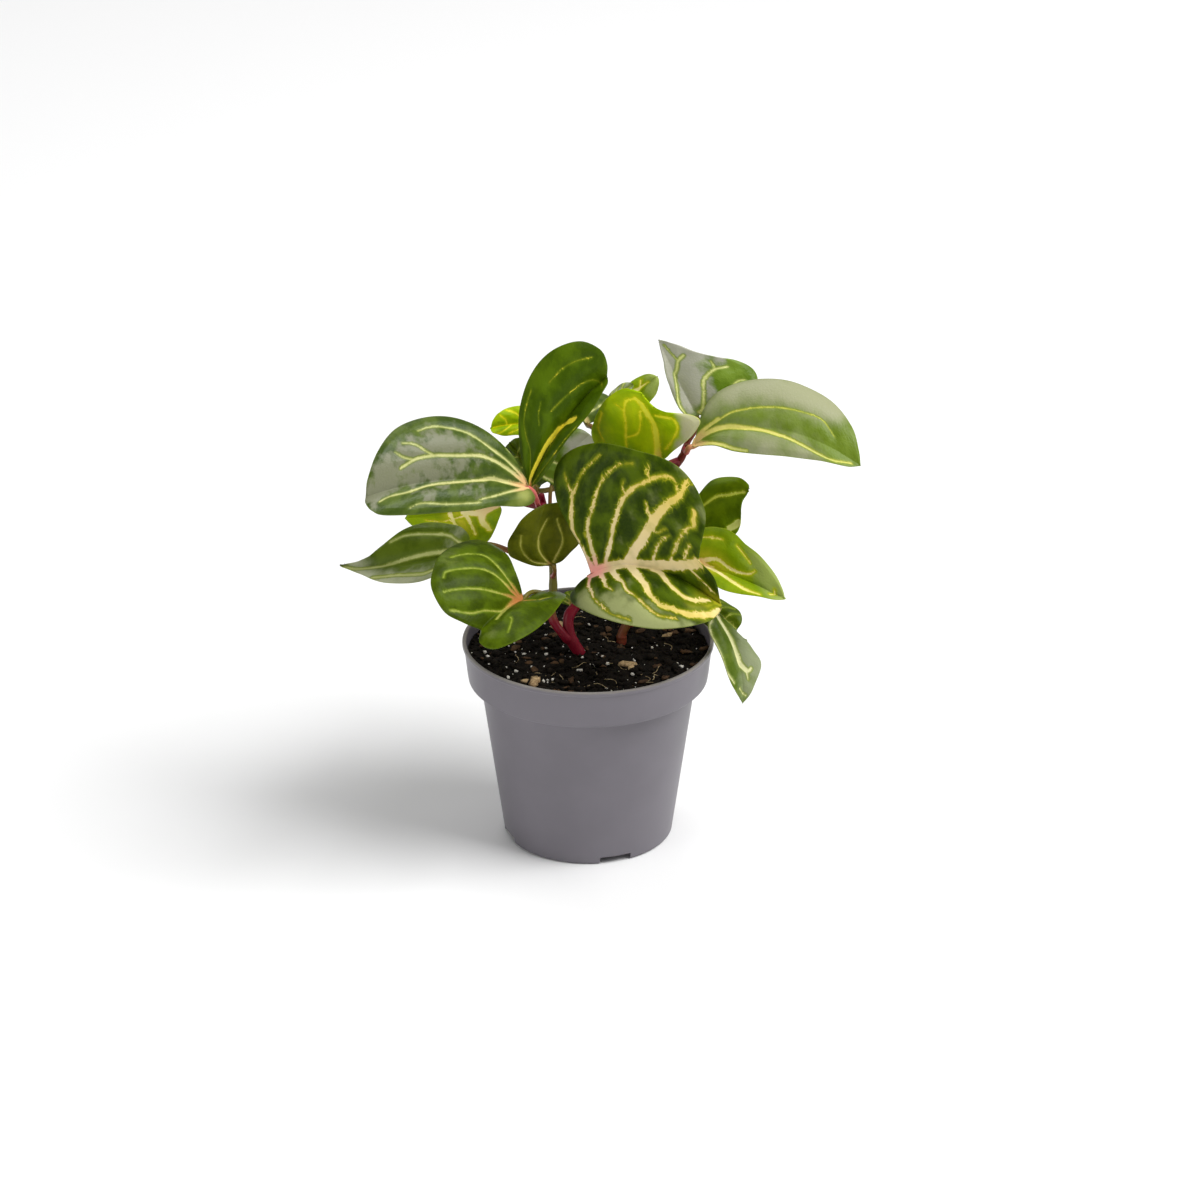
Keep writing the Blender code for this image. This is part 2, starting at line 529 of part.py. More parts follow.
def stalk_line(leaf):
    """Centres and directions of the stalk, a bent rod from the stem's skin to the blade's base."""
    name, share = leaf["root"]
    stem = STEMS[name]
    base, middle, tip = (np.array(leaf[k], float) for k in ("base", "middle", "tip"))
    near, centre, far = stem_points(name, (max(share - 0.02, 0), share, min(share + 0.02, 1)))
    along = unit(far - near)
    away = base - centre
    away = unit(away - along * away.dot(along))
    root = centre + away * (stem_radius(stem, share) + CLEARANCE)
    length = np.linalg.norm(base - root)
    leave = unit(4 * middle - 3 * base - tip)
    below = unit(np.cross(np.array(leaf["right"], float) - np.array(leaf["left"], float), leave))
    last = base - (leave - 0.5 * below) * length * 0.35
    if "bend" in leaf:
        last = base + np.array(leaf["bend"], float)
    handles = root + away * length * 0.35, last
    points = (root, handles[0], handles[1], base)
    t = np.linspace(0, 1, STALK_ROWS + 1)[:, None]
    weights = ((1 - t) ** 3, 3 * t * (1 - t) ** 2, 3 * t**2 * (1 - t), t**3)
    slopes = (-3 * (1 - t) ** 2, 3 * (1 - t) * (1 - 3 * t), 3 * t * (2 - 3 * t), 3 * t**2)
    centres = sum(w * p for w, p in zip(weights, points))
    directions = sum(w * p for w, p in zip(slopes, points))
    return centres, directions


def make_leaf(name, leaf):
    """Blade and stalk as one closed sleeve: round at the stem, flattened into the blade."""
    columns = HALF_COLUMNS
    count = 4 * columns
    line, directions = stalk_line(leaf)
    base, tip = np.array(leaf["base"], float), np.array(leaf["tip"], float)
    size = min(1.0, np.linalg.norm(tip - base) / SMALL_LEAF)
    radius, thick_rib = STALK_RADIUS * size, MIDRIB_THICKNESS * size
    across = unit(np.array(leaf["right"], float) - np.array(leaf["left"], float))
    rings = []
    for centre, direction in zip(line, directions):
        along = unit(direction)
        flat = unit(across - along * across.dot(along))
        up = np.cross(flat, along)
        turns = [math.pi - 2 * math.pi * j / count for j in range(count)]
        rings.append([centre + radius * (math.cos(t) * flat + math.sin(t) * up) for t in turns])
    rows = blade_rows(leaf, BLADE_ROWS, columns)
    spine = [base] + [row[columns] for row in rows] + [tip]
    for k, row in enumerate(rows):
        along = unit(spine[k + 2] - spine[k])
        share = (k + 1) / (len(rows) + 1)
        over, under = [], []
        for j in range(1, 2 * columns):
            up = unit(np.cross(row[j + 1] - row[j - 1], along))
            off_rib = np.linalg.norm(row[j] - row[columns])
            rib = max(thick_rib * (1 - 0.6 * share) - BLADE_THICKNESS, 0) * math.exp(-off_rib)
            over.append(row[j] + up * BLADE_THICKNESS / 2)
            under.append(row[j] - up * (BLADE_THICKNESS / 2 + rib))
        rings.append([row[0]] + over + [row[-1]] + under[::-1])
    shape = bmesh.new()
    loops = [[shape.verts.new(metres(p)) for p in ring] for ring in rings]
    for low, high in zip(loops, loops[1:]):
        for j in range(count):
            shape.faces.new((low[j], low[(j + 1) % count], high[(j + 1) % count], high[j]))
    shape.faces.new(loops[0][::-1])
    end = shape.verts.new(metres(tip))
    for j in range(count):
        shape.faces.new((loops[-1][j], loops[-1][(j + 1) % count], end))
    bmesh.ops.triangulate(shape, faces=shape.faces)
    add_object(name, shape, "leaf", sharp_angle=60.0)


def main():
    clear_scene()
    make_pot()
    make_soil()
    make_stems()
    for name, leaf in LEAVES.items():
        make_leaf(name, leaf)


main()
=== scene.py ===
# %% [markdown]
# # A potted bloodleaf
# A young bloodleaf with cream-veined leaves grows in dark potting soil in a grey plastic nursery pot.
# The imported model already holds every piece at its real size. This script dresses it: it models a finer
# pot, stems and leaves in the same places, adds the loose soil, and gives every surface its finish.
# All lengths are in metres, except in the tables of the plant, which are in millimetres.

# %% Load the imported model
import math

import bpy
import numpy as np
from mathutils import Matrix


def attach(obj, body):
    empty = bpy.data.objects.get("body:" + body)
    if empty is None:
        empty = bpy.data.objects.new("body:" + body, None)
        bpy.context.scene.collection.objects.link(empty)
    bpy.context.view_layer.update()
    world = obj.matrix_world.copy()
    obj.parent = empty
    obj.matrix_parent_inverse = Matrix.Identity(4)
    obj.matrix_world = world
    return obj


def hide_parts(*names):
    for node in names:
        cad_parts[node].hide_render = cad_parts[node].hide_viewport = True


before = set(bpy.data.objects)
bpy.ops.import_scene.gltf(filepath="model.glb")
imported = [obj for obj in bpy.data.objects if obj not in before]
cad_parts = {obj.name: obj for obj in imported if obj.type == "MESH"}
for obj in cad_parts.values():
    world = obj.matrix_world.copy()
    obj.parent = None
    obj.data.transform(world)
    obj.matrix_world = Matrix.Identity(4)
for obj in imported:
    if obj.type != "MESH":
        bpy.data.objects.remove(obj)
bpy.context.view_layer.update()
MM = 0.001
print("pieces in the packed model:", len(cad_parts))

# %% [markdown]
# ## The camera
# The plant is seen from the front and a little above, from far off, so that the pot's rim is a flat
# ellipse. A long lens from 1.8 m gives that quiet, almost parallel view. The camera looks along +Y, so
# its only turn is the tilt: 90 degrees would be level, and each degree less looks down by one.

# %% Camera
VIEW_DISTANCE, VIEW_TILT = 1.8, math.radians(24.6)
VIEW_CENTRE = (0.0057, 0.0, 0.120)
bpy.ops.object.camera_add(
    location=(VIEW_CENTRE[0], -VIEW_DISTANCE * math.cos(VIEW_TILT),
              VIEW_CENTRE[2] + VIEW_DISTANCE * math.sin(VIEW_TILT)),
    rotation=(math.pi / 2 - VIEW_TILT, 0, 0))
camera = bpy.context.object
camera.data.lens = 113.8
camera.data.sensor_width = 36.0
camera.data.clip_end = 20.0
bpy.context.scene.camera = camera
print("camera at", [round(c, 3) for c in camera.location])

# %% [markdown]
# ## Floor and light
# A pale floor that fills the view looks like a studio sweep. The main light is a large soft box high on
# the right and a little in front, which leaves a soft shadow on the left of the pot. A second soft box
# above and behind makes the silvery shine on the leaves that face up. A weak, low one on the left and the
# pale world light fill the shadows.

# %% Floor, soft boxes and world light
bpy.ops.object.select_all(action="DESELECT")
bpy.ops.mesh.primitive_plane_add(size=12.0, location=(0, 0, -0.0004))
floor = bpy.context.object
floor.name = "studio_floor"


def soft_box(name, place, aim, size, power):
    """A square area light that looks at a point."""
    bpy.ops.object.light_add(type="AREA", location=place)
    light = bpy.context.object
    light.name = name
    light.data.shape = "SQUARE"
    light.data.size = size
    light.data.energy = power
    x, y, z = (a - p for a, p in zip(aim, place))
    light.rotation_euler = (math.atan2(math.hypot(x, y), -z), 0, math.atan2(y, x) - math.pi / 2)
    return light


soft_box("key_light", (2.2, -0.6, 3.2), (0, 0, 0.12), 2.6, 174.0)
soft_box("top_light", (-0.7, 2.0, 3.4), (0, 0, 0.15), 2.4, 38.0)
soft_box("fill_light", (-2.5, -1.5, 0.95), (0, 0, 0.15), 1.4, 20.0)
world = bpy.data.worlds.new("studio_air")
bpy.context.scene.world = world
world.use_nodes = True
world.node_tree.nodes["Background"].inputs["Color"].default_value = (1.0, 1.0, 1.0, 1.0)
world.node_tree.nodes["Background"].inputs["Strength"].default_value = 0.25
bpy.context.scene.view_settings.view_transform = "Standard"

# %% [markdown]
# ## Small helpers for materials
# Every finish is a procedural material, so nothing is read from a picture. Colours are easiest to judge
# on a screen's scale from 0 to 255, while shaders work in linear light, so one helper turns one into the
# other. The others add a node and connect it, which keeps the recipes below short.

# %% Material helpers
def colour(red, green, blue):
    """A screen colour from 0 to 255 as linear light with alpha 1."""
    screen = np.array((red, green, blue), float) / 255
    linear = np.where(screen <= 0.04045, screen / 12.92, ((screen + 0.055) / 1.055) ** 2.4)
    return (*(float(c) for c in linear), 1.0)


def new_material(name, roughness, specular=0.5):
    """A material, its node tree and its Principled shader."""
    made = bpy.data.materials.new(name)
    made.use_nodes = True
    shader = made.node_tree.nodes["Principled BSDF"]
    shader.inputs["Roughness"].default_value = roughness
    shader.inputs["Specular IOR Level"].default_value = specular
    return made, made.node_tree, shader


def plug(tree, socket, value):
    """Connects a socket to an output, or sets it."""
    if isinstance(value, bpy.types.NodeSocket):
        tree.links.new(value, socket)
    else:
        socket.default_value = value


def math_step(tree, operation, first, second=0.0):
    """One math node."""
    step = tree.nodes.new("ShaderNodeMath")
    step.operation = operation
    plug(tree, step.inputs[0], first)
    plug(tree, step.inputs[1], second)
    return step.outputs[0]


def times(tree, first, second):
    return math_step(tree, "MULTIPLY", first, second)


def plus(tree, first, second):
    return math_step(tree, "ADD", first, second)


def minus(tree, first, second):
    return math_step(tree, "SUBTRACT", first, second)


def ease(tree, value, low, high):
    """A smooth step from 0 at low to 1 at high."""
    step = tree.nodes.new("ShaderNodeMapRange")
    step.interpolation_type = "SMOOTHSTEP"
    plug(tree, step.inputs["Value"], value)
    step.inputs["From Min"].default_value = min(low, high)
    step.inputs["From Max"].default_value = max(low, high)
    step.inputs["To Min"].default_value = 0.0 if low < high else 1.0
    step.inputs["To Max"].default_value = 1.0 if low < high else 0.0
    return step.outputs["Result"]


def blend_colour(tree, share, first, second):
    """The first colour where share is 0 and the second where it is 1."""
    step = tree.nodes.new("ShaderNodeMix")
    step.data_type = "RGBA"
    plug(tree, step.inputs[0], share)
    plug(tree, step.inputs[6], first)
    plug(tree, step.inputs[7], second)
    return step.outputs[2]


def object_place(tree):
    """The place on the object itself, in metres."""
    return tree.nodes.new("ShaderNodeTexCoord").outputs["Object"]


def stored(tree, name, vector=False):
    """A value that the mesh keeps at each point."""
    step = tree.nodes.new("ShaderNodeAttribute")
    step.attribute_name = name
    return step.outputs["Vector" if vector else "Fac"]


def noise(tree, place, scale, detail=3.0, roughness=0.55):
    """Soft noise from 0 to 1. A higher scale gives finer patches."""
    step = tree.nodes.new("ShaderNodeTexNoise")
    plug(tree, step.inputs["Vector"], place)
    step.inputs["Scale"].default_value = scale
    step.inputs["Detail"].default_value = detail
    step.inputs["Roughness"].default_value = roughness
    return step.outputs["Fac"]


def cell_walls(tree, place, scale):
    """How far a place is from the walls between irregular cells."""
    step = tree.nodes.new("ShaderNodeTexVoronoi")
    step.feature = "DISTANCE_TO_EDGE"
    plug(tree, step.inputs["Vector"], place)
    step.inputs["Scale"].default_value = scale
    return step.outputs["Distance"]


def bump(tree, shader, height, depth, strength=1.0):
    """Small relief: height 0 to 1 stands for a depth in metres."""
    step = tree.nodes.new("ShaderNodeBump")
    step.inputs["Strength"].default_value = strength
    step.inputs["Distance"].default_value = depth
    plug(tree, step.inputs["Height"], height)
    tree.links.new(step.outputs["Normal"], shader.inputs["Normal"])


paint, tree, shader = new_material("pale_floor", 0.9, 0.1)
shader.inputs["Base Color"].default_value = (0.9, 0.9, 0.9, 1.0)
floor.data.materials.append(paint)
print("the floor has its finish")

# %% [markdown]
# ## Small helpers for shapes
# A turned piece starts as one circle. Extruding the circle and resizing the new ring again and again is
# how a pot is drawn by hand: each step is a ring of the finished wall. A stem is a curve with a round
# bevel, whose radius is set point by point, and it becomes a mesh once it is right.

# %% Shape helpers
def deselect():
    """Leaves edit mode and selects nothing."""
    if bpy.context.object and bpy.context.object.mode != "OBJECT":
        bpy.ops.object.mode_set(mode="OBJECT")
    bpy.ops.object.select_all(action="DESELECT")


def choose(*items):
    """Selects these objects alone, with the first one active."""
    deselect()
    for item in items:
        item.select_set(True)
    bpy.context.view_layer.objects.active = items[0]


def turned(name, profile, sides):
    """A body of revolution from (radius, height) points in mm that run once round its section."""
    deselect()
    (first_radius, first_height), rest = profile[0], profile[1:]
    bpy.ops.mesh.primitive_circle_add(vertices=sides, radius=first_radius * MM,
                                      location=(0, 0, first_height * MM), fill_type="NOTHING")
    item = bpy.context.object
    item.name = name
    bpy.ops.object.transform_apply(location=True, rotation=False, scale=False)
    bpy.ops.object.mode_set(mode="EDIT")
    bpy.ops.mesh.select_all(action="SELECT")
    radius, height = first_radius, first_height
    for new_radius, new_height in rest:
        bpy.ops.mesh.extrude_region_move(TRANSFORM_OT_translate={"value": (0, 0, (new_height - height) * MM)})
        share = new_radius / radius
        bpy.ops.transform.resize(value=(share, share, 1), center_override=(0, 0, 0))
        radius, height = new_radius, new_height
    bpy.ops.mesh.select_all(action="SELECT")
    bpy.ops.mesh.remove_doubles(threshold=1e-6)
    bpy.ops.mesh.normals_make_consistent(inside=False)
    bpy.ops.object.mode_set(mode="OBJECT")
    return item


def apply_modifier(item, kind, **settings):
    """Adds a modifier, sets it up and makes its result the mesh."""
    choose(item)
    step = item.modifiers.new(kind.lower(), kind)
    for key, value in settings.items():
        setattr(step, key, value)
    bpy.ops.object.modifier_apply(modifier=step.name)


def carve(item, cutter):
    """Cuts one body out of another and takes the cutter away."""
    apply_modifier(item, "BOOLEAN", operation="DIFFERENCE", solver="EXACT", object=cutter)
    bpy.data.objects.remove(cutter, do_unlink=True)


def rod(name, points, radii, round_steps=4):
    """A round rod through points in mm, with its own radius at each, as a mesh with smooth sides."""
    deselect()
    bpy.ops.curve.primitive_nurbs_path_add()
    item = bpy.context.object
    item.name = name
    line = item.data
    line.splines.clear()
    spline = line.splines.new("POLY")
    spline.points.add(len(points) - 1)
    for point, place, radius in zip(spline.points, points, radii):
        point.co = (*(float(c) * MM for c in place), 1.0)
        point.radius = float(radius)
    line.bevel_depth = MM
    line.bevel_resolution = round_steps
    line.use_fill_caps = True
    bpy.ops.object.convert(target="MESH")
    item = bpy.context.object
    item.data.shade_smooth()
    return item


def keep_value(mesh, name, values, kind="FLOAT"):
    """Stores a value, or a vector, at every point of a mesh for its material to read."""
    field = mesh.attributes.get(name) or mesh.attributes.new(name, kind, "POINT")
    flat = np.ascontiguousarray(values, dtype=np.float32).reshape(-1)
    field.data.foreach_set("vector" if kind == "FLOAT_VECTOR" else "value", flat)


def points_of(mesh):
    """All points of a mesh as rows of x, y and z."""
    flat = np.empty(len(mesh.vertices) * 3)
    mesh.vertices.foreach_get("co", flat)
    return flat.reshape(-1, 3)


def smooth_line(points, shares):
    """Points at the given shares of a smooth curve through all the points."""
    points = np.array(points, float)
    ends = np.vstack([2 * points[0] - points[1], points, 2 * points[-1] - points[-2]])
    position = np.clip(np.asarray(shares, float) * (len(points) - 1), 0, len(points) - 1 - 1e-9)
    k = position.astype(int)
    t = (position - k)[:, None]
    a, b, c, d = ends[k], ends[k + 1], ends[k + 2], ends[k + 3]
    return 0.5 * (2 * b + (c - a) * t + (2 * a - 5 * b + 4 * c - d) * t**2 + (3 * b - a - 3 * c + d) * t**3)


def unit(vectors):
    """The same directions with length 1."""
    return vectors / np.linalg.norm(vectors, axis=-1, keepdims=True)


print("shape helpers are ready")

# %% [markdown]
# ## The pot
# A nursery pot is thin moulded plastic: a wall that tapers so that pots stack, a deep plain band under
# the lip that keeps the wall stiff, and a foot ring with notches so that water can drain away. The packed
# solid has the same section with 48 flat sides. Here the section is turned again with 160 sides and with
# rounded edges, because the light on those edges is what makes plastic look moulded.

# %% Pot sizes and section
POT_HEIGHT, RIM_RADIUS, BASE_RADIUS, WALL = 100.0, 60.0, 40.7, 1.2
WALL_TOP_RADIUS, BAND_HEIGHT, BAND_FOOT_RADIUS = 51.8, 19.0, 57.4
SKIRT_HEIGHT, PAD_RADIUS = 3.6, 14.0
NOTCH_COUNT, NOTCH_WIDTH, NOTCH_HEIGHT = 4, 15.5, 3.3
NOTCH_ANGLE = -71  # degrees about the axis, to the middle of the first notch
NOTCH_DEPTH = 12.0  # across the foot ring, so that the cutter goes right through it
DRAIN_COUNT, DRAIN_RADIUS, DRAIN_CIRCLE = 8, 3.5, 27
SOIL_LEVEL, SOIL_SWELL = 93.0, 1.6
POLE = 0.01  # a ring this small is merged to a point on the axis


def wall_radius(height):
    """Outside radius of the tapered wall at a height in mm."""
    return BASE_RADIUS + height / (POT_HEIGHT - BAND_HEIGHT) * (WALL_TOP_RADIUS - BASE_RADIUS)


def band_radius(height):
    """Outside radius of the rim band at a height in mm."""
    share = (height - (POT_HEIGHT - BAND_HEIGHT)) / BAND_HEIGHT
    return BAND_FOOT_RADIUS + share * (RIM_RADIUS - 0.6 - BAND_FOOT_RADIUS)


def pot_section():
    """Round the section: underside, outside, lip, inside and floor."""
    band, floor_top = POT_HEIGHT - BAND_HEIGHT, SKIRT_HEIGHT + WALL
    foot_inside = BASE_RADIUS - WALL - 0.3
    under = [(POLE, 0), (PAD_RADIUS - 0.5, 0), (PAD_RADIUS, 0.15), (PAD_RADIUS + 0.25, 0.5),
             (PAD_RADIUS + 0.6, SKIRT_HEIGHT - 0.4), (PAD_RADIUS + 1.0, SKIRT_HEIGHT),
             (foot_inside - 0.4, SKIRT_HEIGHT), (foot_inside, SKIRT_HEIGHT - 0.4), (foot_inside, 0.25),
             (foot_inside + 0.25, 0)]
    outside = [(BASE_RADIUS - 0.65, 0), (BASE_RADIUS - 0.25, 0.12), (BASE_RADIUS + 0.02, 0.4),
               (BASE_RADIUS + 0.12, 0.9)]
    outside += [(wall_radius(h), h) for h in (2, 4, 12, 20, 28, 36, 44, 52, 60, 68, 74, 78)]
    outside += [(wall_radius(band - 1.5) + 0.05, band - 1.5), (wall_radius(band) + 0.35, band - 0.75),
                (wall_radius(band) + 1.1, band - 0.45), (BAND_FOOT_RADIUS - 1.3, band - 0.4),
                (BAND_FOOT_RADIUS - 0.55, band - 0.25), (BAND_FOOT_RADIUS - 0.12, band + 0.2),
                (BAND_FOOT_RADIUS, band + 0.9)]
    outside += [(band_radius(h), h) for h in (84, 88, 92, 95, 97)]
    lip = [(band_radius(97.5) + 0.08, 97.5), (RIM_RADIUS - 0.2, 97.9), (RIM_RADIUS, 98.4), (RIM_RADIUS, 99.3),
           (RIM_RADIUS - 0.2, 99.8), (RIM_RADIUS - 0.6, POT_HEIGHT), (RIM_RADIUS - 1.2, POT_HEIGHT),
           (RIM_RADIUS - 1.7, 99.75), (RIM_RADIUS - 1.95, 99.3)]
    inside = [(band_radius(96) - WALL, 96), (band_radius(90) - WALL, 90),
              (BAND_FOOT_RADIUS - WALL, band + 1.9),
              (BAND_FOOT_RADIUS - WALL - 0.8, band + 0.9), (wall_radius(band) - WALL + 0.3, band + 0.3),
              (wall_radius(40) - WALL, 40), (wall_radius(floor_top) - WALL, floor_top)]
    floor_inside = [(PAD_RADIUS - WALL, floor_top), (PAD_RADIUS - WALL - 0.4, WALL), (POLE, WALL)]
    return under + outside + lip + inside + floor_inside


pot = turned("nursery_pot", pot_section(), sides=160)
choose(pot)
bpy.ops.object.mode_set(mode="EDIT")
bpy.ops.mesh.select_all(action="SELECT")
bpy.ops.mesh.remove_doubles(threshold=4e-5)
bpy.ops.mesh.normals_make_consistent(inside=False)
bpy.ops.object.mode_set(mode="OBJECT")
print("pot section:", len(pot_section()), "points,", len(pot.data.polygons), "faces")

# %% [markdown]
# The notches in the foot ring and the drain holes are cut with simple bodies. A cutter is longer than the
# wall it goes through, so that no skin of plastic is left standing.

# %% Notches and drain holes
notch_place = (BASE_RADIUS + 1.5) * MM
for k in range(NOTCH_COUNT):
    angle = math.radians(NOTCH_ANGLE + 360 / NOTCH_COUNT * k)
    deselect()
    bpy.ops.mesh.primitive_cube_add(
        size=MM, location=(notch_place * math.cos(angle), notch_place * math.sin(angle), 0),
        rotation=(0, 0, angle))
    notch = bpy.context.object
    notch.scale = (NOTCH_DEPTH, NOTCH_WIDTH, 2 * NOTCH_HEIGHT)
    bpy.ops.object.transform_apply(location=True, rotation=True, scale=True)
    apply_modifier(notch, "BEVEL", width=0.5 * MM, segments=2)
    carve(pot, notch)
drain_place = DRAIN_CIRCLE * MM
for k in range(DRAIN_COUNT):
    angle = 2 * math.pi * (k + 0.5) / DRAIN_COUNT
    deselect()
    bpy.ops.mesh.primitive_cylinder_add(
        vertices=32, radius=DRAIN_RADIUS * MM, depth=8 * MM,
        location=(drain_place * math.cos(angle), drain_place * math.sin(angle), 4.2 * MM))
    carve(pot, bpy.context.object)
choose(pot)
bpy.ops.object.shade_smooth_by_angle(angle=math.radians(40))
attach(pot, "root")
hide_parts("pot")
print("pot faces after cutting:", len(pot.data.polygons))

# %% [markdown]
# Grey nursery plastic is satin, not glossy. Its surface has a very fine grain from the mould, the colour
# drifts a little, and the top of the lip is a lighter, browner grey.

# %% Grey plastic
paint, tree, shader = new_material("grey_pot_plastic", 0.42)
place = object_place(tree)
split = tree.nodes.new("ShaderNodeSeparateXYZ")
plug(tree, split.inputs[0], place)
drift = noise(tree, place, 22.0, 4.0)
grey = blend_colour(tree, ease(tree, drift, 0.3, 0.7), colour(106, 102, 109), colour(113, 109, 116))
# Above a slightly ragged line near the rim, the top of the lip turns a lighter, browner grey.
rim_top_line = plus(tree, split.outputs["Z"], times(tree, noise(tree, place, 160.0), 0.0012))
grey = blend_colour(tree, ease(tree, rim_top_line, 0.0994, 0.1004), grey, colour(128, 123, 119))
specks = ease(tree, noise(tree, place, 900.0, 2.0), 0.70, 0.78)
grey = blend_colour(tree, times(tree, specks, 0.25), grey, colour(96, 88, 86))
plug(tree, shader.inputs["Base Color"], grey)
plug(tree, shader.inputs["Roughness"], plus(tree, times(tree, drift, 0.14), 0.34))
bump(tree, shader, noise(tree, place, 1500.0, 2.0), 0.00003, 0.5)
pot.data.materials.clear()
pot.data.materials.append(paint)
print("the pot has its finish")

# %% [markdown]
# ## The soil
# Potting soil is dark peat with bark, a few crumbs of white perlite and thin fibres. The packed soil stays
# as the body of it. A fine, uneven skin lies on top, and crumbs, bark and perlite are scattered on that.
# A square grid becomes a disc when each row is drawn in towards a circle, which keeps its squares even.

# %% Soil surface
def soil_height(x, y):
    """Height in mm of the soil's uneven surface."""
    swell = SOIL_SWELL * (1 - (x * x + y * y) / 58.0**2)
    waves = 0.45 * np.sin(0.21 * x + 1.0) * np.cos(0.17 * y) + 0.3 * np.sin(0.33 * (x - y))
    return SOIL_LEVEL + swell + waves


def lumps(x, y):
    """Crumbly relief in mm."""
    coarse = np.sin(0.61 * x + 1.3 * np.sin(0.43 * y)) * np.cos(0.57 * y - 1.1 * np.sin(0.39 * x))
    middle = np.sin(1.37 * x + 2.0 * np.sin(1.13 * y) + 0.7) * np.cos(1.51 * y + 1.6 * np.sin(1.21 * x))
    fine = np.sin(3.1 * x + 1.9 * np.sin(2.7 * y)) * np.cos(3.3 * y + 2.1 * np.sin(2.9 * x + 0.4))
    return 0.55 * coarse + 0.42 * middle + 0.22 * fine


def soil_top(x, y):
    """Height in mm of the surface with its crumbs."""
    return soil_height(x, y) + 0.75 + lumps(x, y)


SOIL_EDGE = band_radius(SOIL_LEVEL) - WALL - 0.25
deselect()
bpy.ops.mesh.primitive_grid_add(x_subdivisions=170, y_subdivisions=170, size=2.0)
soil_skin = bpy.context.object
soil_skin.name = "soil_surface"
square = points_of(soil_skin.data)
x = square[:, 0] * np.sqrt(1 - square[:, 1] ** 2 / 2) * SOIL_EDGE
y = square[:, 1] * np.sqrt(1 - square[:, 0] ** 2 / 2) * SOIL_EDGE
soil_skin.data.vertices.foreach_set("co", (np.stack([x, y, soil_top(x, y)], 1) * MM).reshape(-1))
soil_skin.data.shade_smooth()
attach(soil_skin, "root")
print("soil surface:", len(soil_skin.data.polygons), "faces, up to", round(float(soil_top(x, y).max()), 1),
      "mm")

# %% [markdown]
# One crumb is modelled and squeezed out of round. The scatter then lays copies of it, each with its own
# turn and size, and joins them into one piece. The same helper lays the perlite and the bark, from their
# own small shapes. A fixed seed makes every run lay them alike.

# %% Scatter helper and the single crumbs
def small_shape(name, build, squeeze, seed):
    """The points and faces of a small lump that was modelled once."""
    deselect()
    build()
    item = bpy.context.object
    item.name = name
    rough = np.random.default_rng(seed)
    points = points_of(item.data) * np.array(squeeze)
    points *= 1 + 0.22 * rough.standard_normal((len(points), 1)).clip(-1.5, 1.5)
    faces = [tuple(face.vertices) for face in item.data.polygons]
    bpy.data.objects.remove(item, do_unlink=True)
    return points, faces


def scatter(name, shapes, spots, sizes, sink, seed, tilt=1.2):
    """Copies of the shapes laid on the soil at (x, y) spots in mm, as one piece."""
    rough = np.random.default_rng(seed)
    all_points, all_faces, tints = [], [], []
    for (sx, sy), size in zip(spots, sizes):
        points, faces = shapes[rough.integers(len(shapes))]
        a, b = rough.uniform(0, 2 * math.pi), rough.uniform(-tilt, tilt)
        spin = np.array([[math.cos(a), -math.sin(a), 0], [math.sin(a), math.cos(a), 0], [0, 0, 1]])
        lean = np.array([[1, 0, 0], [0, math.cos(b), -math.sin(b)], [0, math.sin(b), math.cos(b)]])
        start = sum(len(p) for p in all_points)
        placed = points @ lean.T @ spin.T * size + np.array((sx, sy, soil_top(sx, sy) + size * sink))
        all_points.append(placed)
        all_faces += [tuple(start + v for v in face) for face in faces]
        tints += [rough.uniform()] * len(points)
    mesh = bpy.data.meshes.new(name)
    mesh.from_pydata([tuple(p) for p in np.vstack(all_points) * MM], [], all_faces)
    keep_value(mesh, "tint", tints)
    mesh.shade_smooth()
    item = bpy.data.objects.new(name, mesh)
    bpy.context.scene.collection.objects.link(item)
    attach(item, "root")
    return item


STEM_FEET = np.array([(-7, -6.5), (16, 6), (20, 25)])  # x and y in mm, where the stems stand


def spots_on_soil(count, seed, clear_of_stems=3.5):
    """Random spots inside the rim and off the stems."""
    rough = np.random.default_rng(seed)
    radius, angle = SOIL_EDGE * np.sqrt(rough.uniform(0, 0.95, count)), rough.uniform(0, 2 * math.pi, count)
    spots = np.stack([radius * np.cos(angle), radius * np.sin(angle)], 1)
    far = np.linalg.norm(spots[:, None] - STEM_FEET[None], axis=2).min(1) > clear_of_stems
    return spots[far]


def ball():
    """A rough round lump with 20 faces."""
    bpy.ops.mesh.primitive_ico_sphere_add(subdivisions=1, radius=0.5)


def block():
    """A lump with flatter ends, like a bit of bark."""
    bpy.ops.mesh.primitive_uv_sphere_add(segments=8, ring_count=4, radius=0.5)


crumbs = [small_shape("crumb", ball, (1.2, 0.9, 0.7), seed) for seed in (1, 2, 3, 4)]
perlite = [small_shape("perlite", ball, (1.0, 0.9, 0.85), seed) for seed in (5, 6)]
chips = [small_shape("chip", block, (1.5, 0.8, 0.45), seed) for seed in (7, 8, 9)]
print("small shapes:", len(crumbs), "crumbs,", len(perlite), "perlite,", len(chips), "bark")

